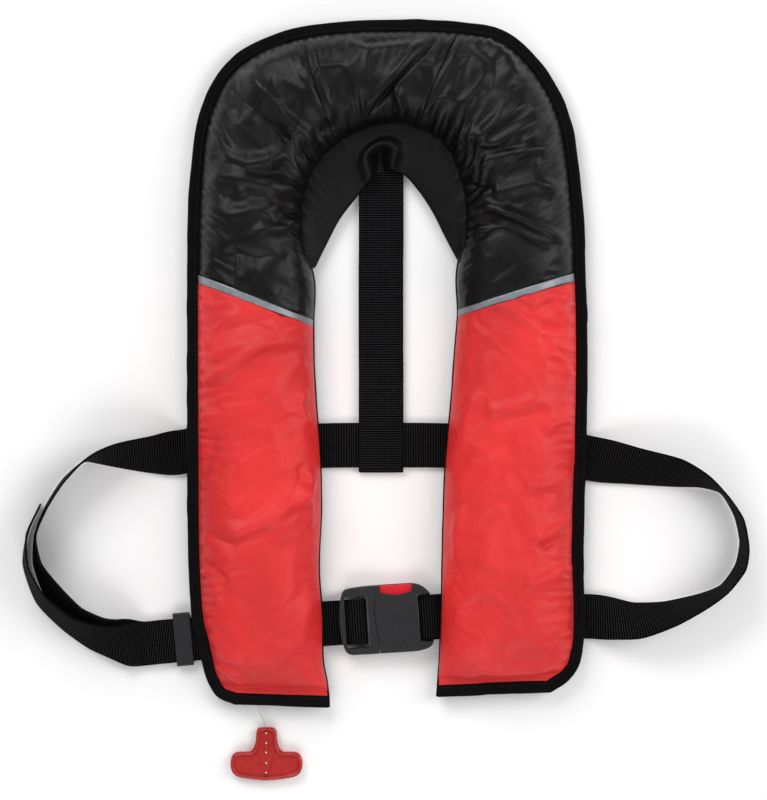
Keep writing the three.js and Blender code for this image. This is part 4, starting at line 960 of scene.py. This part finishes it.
WEBBING = 40.0
WEB_THICK = 1.8
LOW_Z = 3.0
TAIL_Z = 5.1
EDGE_LOW = 1.2
RIB_PITCH = 2.2
BUCKLE_AT = np.array([0.8, -225.4, 0.0])
BUCKLE_TURN = math.radians(3.5)
ALONG = np.array([math.cos(BUCKLE_TURN), math.sin(BUCKLE_TURN), 0])
ACROSS = np.array([-math.sin(BUCKLE_TURN), math.cos(BUCKLE_TURN), 0])
STRAP_V = -1.2

webbing = Shader("webbing", srgb(11, 11, 12), 0.7, specular=0.03)
# Painted shade and highlight: the base colour is darkest in the gaps between the cross ribs and the weave
# (painted shade) and brightest on their crests (painted highlight), up to eight times the webbing's colour.
webbing.tint(webbing.math("MULTIPLY", webbing.wave(RIB_PITCH * MM, "Y", distortion=0.15),
                          webbing.math("ADD", 0.55, webbing.wave(0.0019, "X", distortion=0.2))),
             0.0, 8.0, (0.55, 1.35))
webbing.bump(webbing.wave(RIB_PITCH * MM, "Y", distortion=0.15), 0.0005)
webbing.bump(webbing.wave(0.0019, "X", distortion=0.3), 0.00025)
webbing.bump(webbing.noise(1100, 2), 0.00012)


def flat(ax, ay, bx, by, z):
    return (ax, ay, z), (bx, by, z)


def tilted(ax, ay, bx, by, low):
    """Edge b near the floor and edge a above it, as high as the webbing's width allows."""
    reach = math.hypot(ax - bx, ay - by)
    rise = math.sqrt(max(WEBBING ** 2 - reach ** 2, 0))
    return (ax, ay, low + rise), (bx, by, low)


def at_buckle(u, z, flip):
    middle = BUCKLE_AT + ALONG * u + ACROSS * STRAP_V + (0, 0, z)
    half = ACROSS * (-WEBBING if flip else WEBBING) / 2
    return tuple(middle + half), tuple(middle - half)


def webbing_strip(name, stations, node, seed, body="jacket"):
    """Woven webbing with cross ribs and soft rounded selvedges, through pairs of edge points."""
    a = np.array([s[0] for s in stations], float)
    b = np.array([s[1] for s in stations], float)
    coarse = np.linspace(0, 1, 60 * len(stations))
    middle = (catmull(a, coarse, False, 0.35) + catmull(b, coarse, False, 0.35)) / 2
    arc = arc_length(middle)
    count = int(arc[-1] / (RIB_PITCH / 2))
    t = np.interp(np.linspace(0, arc[-1], count), arc, coarse)
    a, b = catmull(a, t, False, 0.35), catmull(b, t, False, 0.35)
    middle = (a + b) / 2
    ahead = np.gradient(middle, axis=0)
    side = b - a
    side /= np.linalg.norm(side, axis=1)[:, None]
    normal = np.cross(side, ahead)
    normal /= np.linalg.norm(normal, axis=1)[:, None]
    along = arc_length(middle)
    rib = np.where(np.arange(count) % 2 == 0, 0.09, -0.09)
    wander = 0.35 * noise2(along / 30, 0 * along, 101 + seed)
    half = WEBBING / 2 - 0.2
    section = [(-1, 0), (-0.985, 0.75), (-0.93, 1.0), (-0.87, 0.9), (-0.5, 0.97), (0, 1.0), (0.5, 0.97),
               (0.87, 0.9), (0.93, 1.0), (0.985, 0.75), (1, 0), (0.985, -0.75), (0.93, -1.0), (0.5, -0.95),
               (0, -0.95), (-0.5, -0.95), (-0.93, -1.0), (-0.985, -0.75)]
    rings = []
    for x, y in section:
        lift = (WEB_THICK / 2 + rib) * y
        rings.append(middle + side * (x * half + wander * 0.4)[:, None] + normal * lift[:, None])
    mesh = tube_mesh(name, np.stack(rings, axis=1))
    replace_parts(new_object(name, mesh, webbing.material, "webbing", body), node)


BUCKLE_WRAP = [(72, TAIL_Z + 0.05), (58, TAIL_Z + 0.05), (51, TAIL_Z + 0.1), (46, 8.3), (41, 9.4),
               (34.6, 8.4), (31.4, 6), (34.2, 3.5), (41, LOW_Z), (56, LOW_Z)]
RIGHT_LOOP = [
    flat(150, -243.3, 150, -203.3, LOW_Z),
    flat(184, -243.5, 184, -203.5, LOW_Z),
    tilted(204, -243.5, 202, -206, EDGE_LOW + 1.5),
    tilted(228, -241.5, 222, -211, EDGE_LOW),
    tilted(258, -229.5, 248, -210.5, EDGE_LOW),
    tilted(286, -213, 279, -204, EDGE_LOW),
    tilted(303, -199.5, 299, -196, EDGE_LOW),
    tilted(317, -181, 312, -178, EDGE_LOW),
    tilted(320, -162, 316, -157, EDGE_LOW),
    tilted(315.5, -137, 311, -134, EDGE_LOW),
    tilted(302.5, -117, 299, -114, EDGE_LOW),
    tilted(285, -98, 280, -109, EDGE_LOW),
    tilted(262, -83.7, 255, -108.5, EDGE_LOW),
    tilted(225, -73.7, 216, -106.3, EDGE_LOW + 1),
    flat(188, -64.2, 180, -103.2, LOW_Z),
    flat(172, -60.5, 164, -99.5, LOW_Z),
]
ACROSS_BACK = [
    flat(150, -57.5, 146, -97.3, LOW_Z),
    flat(60, -52.1, 60, -92.1, LOW_Z),
    flat(-60, -52.1, -60, -92.1, LOW_Z),
    flat(-160, -55.3, -159, -95.3, LOW_Z),
    flat(-182, -58.3, -180, -98, LOW_Z),
]
LEFT_LOOP = [
    tilted(-205, -63.3, -203, -97, EDGE_LOW + 1),
    tilted(-235, -70.2, -236, -91.5, EDGE_LOW),
    tilted(-252, -77.5, -254, -87.8, EDGE_LOW),
    tilted(-264.5, -87, -266, -86.5, EDGE_LOW),
    tilted(-281, -105, -284, -102, EDGE_LOW),
    tilted(-295, -127, -299, -125, EDGE_LOW),
    tilted(-304.5, -151, -309, -150, EDGE_LOW),
    tilted(-299.6, -175, -310.5, -177, EDGE_LOW),
    tilted(-285, -194, -301, -204, EDGE_LOW),
    tilted(-265, -214, -281, -227, EDGE_LOW),
    tilted(-246, -223, -257, -246, EDGE_LOW),
    tilted(-235, -224.5, -242, -253, EDGE_LOW),
    ((-222, -227, 9), (-227, -263.5, 2.6)),
]


def keeper_run(z):
    return [flat(-212, -228, -216, -267.5, z), flat(-196, -226.5, -200, -266, z),
            flat(-176, -224.5, -180, -264.3, z), flat(-156.5, -222.5, -160.5, -262.3, z)]


TAIL_RUN = [
    ((-222, -229, 18), (-226, -266.5, 9)),
    tilted(-234, -230, -242, -260.5, EDGE_LOW + 6),
    tilted(-252, -229.5, -262, -251.5, EDGE_LOW),
    tilted(-273, -222.5, -286, -234, EDGE_LOW),
    tilted(-297, -203, -308, -211, EDGE_LOW),
    tilted(-311, -178, -319.4, -178, EDGE_LOW),
    tilted(-312.5, -150, -315.5, -149, EDGE_LOW),
    tilted(-301, -125, -304, -123.5, EDGE_LOW),
]
TONGUE_WRAP = [(-137, TAIL_Z + 0.05), (-90, TAIL_Z + 0.05), (-42, TAIL_Z + 0.05), (-36, TAIL_Z + 0.1),
               (-31, 7.2), (-27, 9.5), (-22, 10.5), (-17.5, 9.2), (-16.2, 6.7), (-18, 4.2),
               (-24, LOW_Z), (-42, LOW_Z), (-90, LOW_Z), (-137, LOW_Z)]

belt = [at_buckle(u, z, True) for u, z in BUCKLE_WRAP] + RIGHT_LOOP + ACROSS_BACK + LEFT_LOOP
belt += keeper_run(LOW_Z)
webbing_strip("belt_webbing", belt, "waist_belt", seed=1)
webbing_strip("belt_tail_webbing", keeper_run(TAIL_Z + 0.05)[::-1] + TAIL_RUN, "belt_tail", seed=2)
webbing_strip("front_webbing", [at_buckle(u, z, False) for u, z in TONGUE_WRAP], "front_strap",
              body="tongue", seed=3)

# The back strap runs down to a loop round the belt and is sewn to itself above it.
BACK_LEFT, BACK_RIGHT = -22.2, 17.8
back_line = [(200, TAIL_Z), (120, TAIL_Z), (20, TAIL_Z), (-49, TAIL_Z), (-85, TAIL_Z), (-92.2, TAIL_Z),
             (-94.6, 4.2), (-95.1, 3.0), (-94.6, 1.8), (-92.2, 0.95), (-85, 0.95), (-52, 0.95),
             (-47, 2.2), (-42, LOW_Z), (-18, LOW_Z)]
stations = [((BACK_RIGHT, y, z), (BACK_LEFT, y, z)) for y, z in back_line]
webbing_strip("back_webbing", stations, "back_strap", seed=4)


def stitch_rows(name, corners, z, up=1.0, closed=False):
    """Stitches along straight lines through corners at height z."""
    pts = np.array([(x, y, z) for x, y in corners], float)
    if closed:
        pts = np.vstack([pts, pts[:1]])
    dense = []
    for p, q in zip(pts[:-1], pts[1:]):
        n = max(int(np.linalg.norm(q - p)), 2)
        dense.append(p + (q - p) * np.linspace(0, 1, n, endpoint=False)[:, None])
    dense = np.vstack(dense + [pts[-1:]])
    add_stitches(name, dense, thread_black, "webbing", (2.5, 0.6, 3.2), 0.35, up)


top = TAIL_Z + WEB_THICK / 2
STRAP_BOX = [(-19, -20), (15, -20), (15, -43), (-19, -43)]
stitch_rows("back_strap_box", STRAP_BOX, top, closed=True)
stitch_rows("back_strap_cross", [(-19, -20), (15, -43)], top)
stitch_rows("back_strap_cross_2", [(15, -20), (-19, -43)], top)
stitch_rows("back_strap_box_under", STRAP_BOX, 2.05, -1.0, True)

# ---- padded collar round the neck ----

COLLAR_START, COLLAR_END = 11.3, 22.75
COLLAR_EDGE = [(-60, 86, 0), (-49.7, 107, 0), (-38.3, 128.5, 0), (-25, 146, 0), (-11, 163, 0),
               (3, 172, 0), (17, 168, 0), (31, 153, 0), (43, 135, 0), (54, 113, 0), (64, 94, 0)]

fleece = Shader("neoprene", srgb(8, 8, 9), 0.5, specular=0.17)
fleece.tint(fleece.noise(70, 4), 0.8, 1.25)
fleece.bump(fleece.noise(1300, 3), 0.00025)
fleece.bump(fleece.noise(120, 3), 0.0004)

rows = np.linspace(0, 1, 220)
ribs = COLLAR_START + (COLLAR_END - COLLAR_START) * rows
edge = catmull(COLLAR_EDGE, rows)
seam = inner_at(ribs)
span = seam - edge
width = np.linalg.norm(span, axis=1)
top_line = [(0.0, 1.0), (0.03, 2.6), (0.1, 3.9), (0.3, 5.6), (0.55, 7.4), (0.7, 8.3), (0.85, 9.0),
            (1.04, 9.4)]
bottom_line = [(1.04, 0.2), (0.7, -0.1), (0.4, -0.3), (0.15, -0.4), (0.03, -0.9), (0.0, -1.2)]
STRAP_TOP = 6.0
COLLAR_BASE = 8.9

# At the back of the neck the padding is folded: a hollow with a raised horseshoe round it.
CURL_X = -2.5
CURL_REACH = 15.0
CURL_RADIUS = 9.2
curl_x = edge[:, 0] - CURL_X
ring_list = []
for s in np.linspace(0, 1.04, 44):
    h = np.interp(s, *zip(*top_line))
    p = edge + span * s
    past = np.maximum(s * width - CURL_REACH, 0)
    from_hollow = np.hypot(curl_x, past)
    near = 1 - smooth(past, 8, 22)
    lift = (1.1 * noise2(arc_length(edge) / 26, s * 2 + 0 * rows, 111)
            + 1.4 * ridges(arc_length(seam) / 12, s * 1.3 + 0 * rows, 112) * smooth(s, 0.5, 1.0)
            - 8.0 * near * np.exp(-(from_hollow / 4.4) ** 2)
            + 8.5 * near * np.exp(-((from_hollow - CURL_RADIUS) / 4.7) ** 2))
    p[:, 2] = np.maximum(COLLAR_BASE + h + lift, STRAP_TOP + 0.9)
    ring_list.append(p)
for s, h in bottom_line:
    p = edge + span * s
    dip = 2.4 * np.exp(-(s / 0.5) ** 2) * np.exp(-(curl_x / 5.0) ** 2)
    p[:, 2] = np.maximum(COLLAR_BASE + h - dip, STRAP_TOP + 0.3)
    ring_list.append(p)
collar = new_object("collar_padding", tube_mesh("collar_padding", np.stack(ring_list, axis=1)),
                    fleece.material, "neoprene")
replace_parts(collar, "neck_collar")

# ---- moulded parts: CAD shapes with softened edges ----


def moulded(name, color, roughness, grain=0.0001, specular=0.3):
    """Injection-moulded plastic: fine spark-eroded grain and rubbed patches."""
    s = Shader(name, color, roughness, specular=specular)
    s.tint(s.noise(55, 3), 0.84, 1.16)
    s.tint(s.noise(420, 2), 0.86, 1.14)
    s.rough(s.noise(140, 3), roughness - 0.06, roughness + 0.1)
    s.bump(s.noise(900, 3), grain)
    return s


def softened(node, name, plastic, slot_name, body, bevel, segments):
    """A piece with a CAD node's shape and rounded edges."""
    source = bpy.data.objects[node]
    mesh = source.data.copy()
    mesh.name = name
    mesh.materials.clear()
    work = bmesh.new()
    work.from_mesh(mesh)
    bmesh.ops.remove_doubles(work, verts=work.verts, dist=0.00002)
    bmesh.ops.dissolve_limit(work, angle_limit=math.radians(1.5), verts=work.verts, edges=work.edges)
    work.to_mesh(mesh)
    work.free()
    obj = new_object(name, mesh, plastic.material, slot_name, body)
    mod = obj.modifiers.new("rounding", "BEVEL")
    mod.width = bevel * MM
    mod.segments = segments
    mod.limit_method = "ANGLE"
    mod.angle_limit = math.radians(38)
    mod.use_clamp_overlap = True
    mod.harden_normals = False
    mod.miter_outer = "MITER_ARC"
    smooth_mod = obj.modifiers.new("shading", "WEIGHTED_NORMAL")
    smooth_mod.keep_sharp = False
    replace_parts(obj, node)


buckle_plastic = moulded("buckle_plastic", srgb(36, 37, 39), 0.42)
button_plastic = moulded("button_plastic", srgb(214, 27, 45), 0.38)
handle_plastic = moulded("handle_plastic", srgb(172, 33, 29), 0.27, specular=0.5)
MOULDINGS = [
    ("buckle_body", "buckle_shell", buckle_plastic, "buckle_plastic", "jacket", 0.9, 3),
    ("buckle_tongue", "buckle_frame", buckle_plastic, "buckle_plastic", "tongue", 0.9, 3),
    ("release_button", "buckle_button", button_plastic, "button_plastic", "button", 0.5, 2),
    ("tail_keeper", "keeper_slide", buckle_plastic, "buckle_plastic", "keeper", 0.4, 2),
    ("pull_handle", "handle_moulding", handle_plastic, "handle_plastic", "handle", 0.75, 3),
]
for moulding in MOULDINGS:
    softened(*moulding)


def bead(name, points, width, height):
    """A raised half-round rib along a line on the handle."""
    pts = np.asarray(points, float)
    ahead = np.gradient(pts, axis=0)
    ahead /= np.linalg.norm(ahead, axis=1)[:, None]
    side = np.cross(ahead, [0, 0, 1.0])
    rings = []
    for a in np.linspace(0, 2 * math.pi, 10, endpoint=False):
        lift = max(math.sin(a), -0.4) * height
        rings.append(pts + side * math.cos(a) * width / 2 + np.array([0, 0, lift]))
    new_object(name, tube_mesh(name, np.stack(rings, axis=1)), handle_plastic.material, "handle_plastic",
               "handle")


HANDLE_X, HANDLE_TOP, HANDLE_SHOULDER, HANDLE_BOTTOM = -103.7, -321.7, -343.4, -368.7
HANDLE_FLOOR = 5.2
HANDLE_RIM = 6.4


def quadratic(start, pull, end, count=10):
    t = np.linspace(0, 1, count)[:, None]
    return (1 - t) ** 2 * np.array(start) + 2 * t * (1 - t) * np.array(pull) + t ** 2 * np.array(end)


def handle_half(inset):
    """The right half of the T handle's outline, from the middle of its top to its lowest point."""
    stem, wing = 9 - inset, 31.8 - inset
    top, shoulder, low = HANDLE_TOP - inset, HANDLE_SHOULDER - inset, HANDLE_BOTTOM + inset
    return np.vstack([
        [(0, top)],
        quadratic((stem - 4, top), (stem, top), (stem, top - 5)),
        quadratic((stem, top - 7), (stem, shoulder + 3), (stem + 6, shoulder)),
        quadratic((wing - 8, shoulder), (wing, shoulder), (wing, shoulder - 10)),
        quadratic((wing, shoulder - 11), (wing, low + 5), (wing - 8, low + 3)),
        quadratic((wing - 9, low + 2.7), (14, low + 1), (0, low)),
    ])


half_rim = handle_half(1.7)
whole_rim = np.vstack([half_rim, (half_rim * (-1, 1))[::-1][1:]]) + (HANDLE_X, 0)
rim_line = np.column_stack([whole_rim, np.full(len(whole_rim), HANDLE_RIM - 0.1)])
bead("handle_rim", rim_line, 2.7, 1.25)


def groove(start, end):
    """A straight line in the sunken face of the handle."""
    return np.linspace((*start, HANDLE_FLOOR), (*end, HANDLE_FLOOR), 8)


for side_name, way in (("left", -1), ("right", 1)):
    channel = groove((HANDLE_X + 1.9 * way, -325.6), (HANDLE_X + 1.9 * way, -345.6))
    bead(f"handle_channel_{side_name}", channel, 0.9, 0.75)
    arrow = groove((HANDLE_X + 6.9 * way, -346.6), (HANDLE_X + 0.5 * way, -365.0))
    bead(f"handle_arrow_{side_name}", arrow, 1.1, 0.85)

DOT_DROPS = [5.1, 13.8, 22.3, 31.6, 40.1]
DOT_X = -103.9
DOT_RADIUS = 0.95


def cord_dots(name):
    """Ends of the cord, seen as small round dots in the handle's holes."""
    work = bmesh.new()
    for drop in DOT_DROPS:
        centre = (DOT_X, HANDLE_TOP - drop, HANDLE_FLOOR + 0.4)
        place = Matrix.Translation([c * MM for c in centre])
        bmesh.ops.create_uvsphere(work, u_segments=16, v_segments=8, radius=DOT_RADIUS * MM, matrix=place)
    mesh = bpy.data.meshes.new(name)
    work.to_mesh(mesh)
    work.free()
    new_object(name, mesh, cord_white.material, "cord", "handle")


cord_dots("handle_cord_dots")

# ---- what lies under the covers ----

BLADDER_LIMITS = [(3.5, 14), (7, 14), (8, 40), (25, 40), (26, 23), (32, 23)]
BLADDER_BASE = 9.6

bladder_cloth = Shader("bladder_fabric", srgb(236, 188, 30), 0.5, specular=0.4)
bladder_cloth.tint(bladder_cloth.noise(40, 4), 0.85, 1.08)
bladder_cloth.bump(bladder_cloth.noise(260, 4), 0.0002)
bladder_weave = bladder_cloth.math("MULTIPLY", bladder_cloth.wave(0.0012), bladder_cloth.wave(0.0012, "Y"))
bladder_cloth.bump(bladder_weave, 0.00006)

# The bladder is folded in layers, so its sides step in and out like a folded cloth.
ribs = even_ribs(BLADDER_LIMITS[0][0], BLADDER_LIMITS[-1][0], 5)
limits = np.interp(ribs, *zip(*BLADDER_LIMITS))
inner, outer = inner_at(ribs), outer_at(ribs)
width = np.linalg.norm(outer - inner, axis=1)
far = width - FLANGE_WIDTH - 12
layers = 6
FOLD_STEP = 2.2
ring_list = []


def bladder_point(reach, level):
    """A row along the folded bladder: reach across it in millimetres, level 0 at its base to 1."""
    p = inner + (outer - inner) * (reach / width)[:, None]
    grid_z = COVER_BASE + CROWN * puff(reach) * puff(width - FLANGE_WIDTH - reach) - 6.5
    top_z = np.maximum(np.minimum(grid_z, limits), BLADDER_BASE + 1)
    p[:, 2] = BLADDER_BASE + (top_z - BLADDER_BASE) * level
    return p


for k in range(2 * layers + 1):
    level = k / (2 * layers)
    ring_list.append(bladder_point(9 + (FOLD_STEP if k % 2 else 0) + 6 * level, level))
for s in np.linspace(0.12, 0.88, 14):
    ring_list.append(bladder_point(15 + (far - 30) * s, 1.0))
for k in range(2 * layers, -1, -1):
    level = k / (2 * layers)
    ring_list.append(bladder_point(far - (FOLD_STEP if k % 2 else 0) - 6 * level, level))
bladder = new_object("bladder_folds", tube_mesh("bladder_folds", np.stack(ring_list, axis=1)),
                     bladder_cloth.material, "bladder_fabric")
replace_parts(bladder, "bladder")

# Closure tapes: hook tape on the back panel and loop tape on the cover.
hook_tape = Shader("hook_and_loop", srgb(18, 18, 18), 0.85, specular=0.2)
hook_tape.tint(hook_tape.noise(1500, 2), 0.4, 1.8)
hook_tape.bump(hook_tape.noise(1500, 2), 0.0005)
for side_name, first, last in (("left", 3, 15), ("right", 19, 31)):
    at, side = edge_frames(even_ribs(first, last, 4))
    for kind, low in (("hook", 9.0), ("loop", 9.9)):
        section = [(1.5, low), (1.5, low + 0.6), (9, low + 0.66), (17.5, low + 0.6), (17.5, low), (9, low)]
        mesh = tube_mesh(f"{kind}_tape_{side_name}", strip_rings(at, side, section, 0.06, 121))
        obj = new_object(f"{kind}_tape_{side_name}", mesh, hook_tape.material, "hook_and_loop")
        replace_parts(obj, f"closure_{kind}_{side_name}")

# Neck pad: foam under a fleece skin, quilted along its edge.
low, high = (np.array(c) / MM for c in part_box("neck_pad"))
centre, half = (low + high) / 2, (high - low) / 2
count = 150
angles = np.linspace(0, 2 * math.pi, count, endpoint=False)
power = 0.4  # rounds the pad's corners
outline = np.column_stack([
    centre[0] + half[0] * np.sign(np.cos(angles)) * np.abs(np.cos(angles)) ** power,
    centre[1] + half[1] * np.sign(np.sin(angles)) * np.abs(np.sin(angles)) ** power])
ring_list = []
for inset, z in ((0.55, high[2] + 0.1), (0.1, high[2]), (0.02, 2.6), (0.0, 1.6), (0.03, 0.7), (0.09, 0.35),
                 (0.13, 0.6), (0.2, 0.25), (0.4, 0.0), (0.8, 0.0)):
    ring = centre[:2] + (outline - centre[:2]) * (1 - inset)
    wave = 0.12 * noise2(ring[:, 0] / 14, ring[:, 1] / 14, 131)
    ring_list.append(np.column_stack([ring, z + np.maximum(wave, -0.1 if z > 0.2 else 0)]))
pad = new_object("neck_pad_foam", tube_mesh("neck_pad_foam", np.stack(ring_list)), fleece.material,
                 "neoprene")
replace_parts(pad, "neck_pad")

# Belt tunnels across the back of each lobe, sewn along their two long edges.
for node in ("tunnel_upper_left", "tunnel_lower_left", "tunnel_upper_right", "tunnel_lower_right"):
    low, high = (np.array(c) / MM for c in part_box(node))
    xs = np.linspace(low[0], high[0], 40)
    mid_y, half_y = (low[1] + high[1]) / 2, (high[1] - low[1]) / 2
    mid_z, half_z = (low[2] + high[2]) / 2, (high[2] - low[2]) / 2
    rows = []
    for a in np.linspace(0, 2 * math.pi, 65):
        c, s = math.cos(a), math.sin(a)
        y = mid_y + (half_y - 0.4) * math.copysign(abs(c) ** 0.25, c)
        z = mid_z + (half_z - 0.4) * math.copysign(abs(s) ** 0.5, s)
        sag = 0.3 * noise2(xs / 15, 0 * xs + y / 13, 141) * abs(s)
        rows.append(np.column_stack([xs, y + 0 * xs, np.clip(z + sag, 0.5, 7.4)]))
    add_sheet(f"{node}_cloth", np.stack(rows), black_nylon, "black_nylon", node,
              ((high[0] - low[0]) * MM, 0.12))
    for k, y in enumerate((low[1] + 3.5, high[1] - 3.5)):
        line = np.column_stack([xs, y + 0 * xs, 0.62 + 0 * xs])
        add_stitches(f"{node}_stitches_{k}", line, thread_black, "black_nylon", (2.5, 0.6, 3.5), up=-1.0)

# ---- inflation system ----

LANYARD_DIAMETER = 2.0
LANYARD_ROUTE = [(137, -117.4, 31), (138, -105, 32), (134, -90, 33), (124, -74, 33), (115, -60, 32),
                 (110.8, -55, 31)]
lanyard, lanyard_length = cord_curve("whistle_cord", LANYARD_ROUTE, LANYARD_DIAMETER,
                                     cord_white.material, "jacket")
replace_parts(lanyard, "whistle_lanyard")

steel = Shader("steel", srgb(178, 182, 186), 0.3, metallic=1.0)
steel.rough(steel.noise(30, 4), 0.24, 0.42)
steel.tint(steel.noise(18, 3), 0.9, 1.05)
steel.bump(steel.noise(700, 2), 0.00003)
slot_materials = {
    "inflator_plastic": moulded("inflator_plastic", srgb(34, 36, 40), 0.42),
    "lever_plastic": moulded("lever_plastic", srgb(232, 190, 30), 0.4),
    "indicator_plastic": moulded("indicator_plastic", srgb(40, 170, 70), 0.35),
    "bobbin": moulded("bobbin", srgb(236, 232, 220), 0.6),
    "whistle_plastic": moulded("whistle_plastic", srgb(240, 120, 30), 0.35),
    "rubber": moulded("rubber", srgb(22, 22, 22), 0.75, 0.00015, 0.25),
    "steel": steel,
}
for part in frame["record"]["subparts"]:
    node = bpy.data.objects[part["node"]]
    if not node.hide_render and part["material_slot"] in slot_materials:
        for material_slot in node.material_slots:
            material_slot.material = slot_materials[part["material_slot"]].material


def squeezed_spring(node, name):
    """A spring between the jacket, which holds it, and the body that pushes it: a smooth-shaded steel copy
    of the CAD node, in its place.
    """
    mesh = bpy.data.objects[node].data.copy()
    mesh.name = name
    mesh.materials.clear()
    mesh.materials.append(steel.material)
    for face in mesh.polygons:
        face.use_smooth = True
    obj = bpy.data.objects.new(name, mesh)
    bpy.context.scene.collection.objects.link(obj)
    obj.matrix_world = bpy.data.objects[node].matrix_world
    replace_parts(obj, node)
    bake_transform(obj)


squeezed_spring("button_spring", "button_return_spring")
squeezed_spring("piercing_spring", "pin_return_spring")

# ---- floor and light ----

FLOOR_HALF = 6.0
FLOOR_Z = -0.0005
LIGHTS = [
    ("key", (-0.9, 1.5, 1.5), (1.9, 1.1), 32),
    ("side", (1.6, 0.3, 1.3), (1.0, 1.8), 21),
    ("front", (-0.2, -1.8, 1.4), (1.9, 1.0), 17),
]


def make_stage():
    mesh = bpy.data.meshes.new("floor")
    corners = ((-1, -1), (1, -1), (1, 1), (-1, 1))
    mesh.from_pydata([(x * FLOOR_HALF, y * FLOOR_HALF, FLOOR_Z) for x, y in corners], [], [(0, 1, 2, 3)])
    floor = bpy.data.objects.new("floor", mesh)
    bpy.context.scene.collection.objects.link(floor)
    paint = Shader("floor", (0.93, 0.93, 0.93), 0.8)
    mesh.materials.append(paint.material)
    world = bpy.data.worlds.new("studio")
    world.use_nodes = True
    world.node_tree.nodes["Background"].inputs["Color"].default_value = (1, 1, 1, 1)
    world.node_tree.nodes["Background"].inputs["Strength"].default_value = 0.38
    bpy.context.scene.world = world
    bpy.context.scene.view_settings.view_transform = "Standard"
    for name, at, size, power in LIGHTS:
        data = bpy.data.lights.new(name, "AREA")
        data.shape = "RECTANGLE"
        data.size, data.size_y = size
        data.energy = power
        light = bpy.data.objects.new(name, data)
        light.location = at
        light.rotation_euler = (-Vector(at)).to_track_quat("-Z", "Y").to_euler()
        bpy.context.scene.collection.objects.link(light)


make_stage()
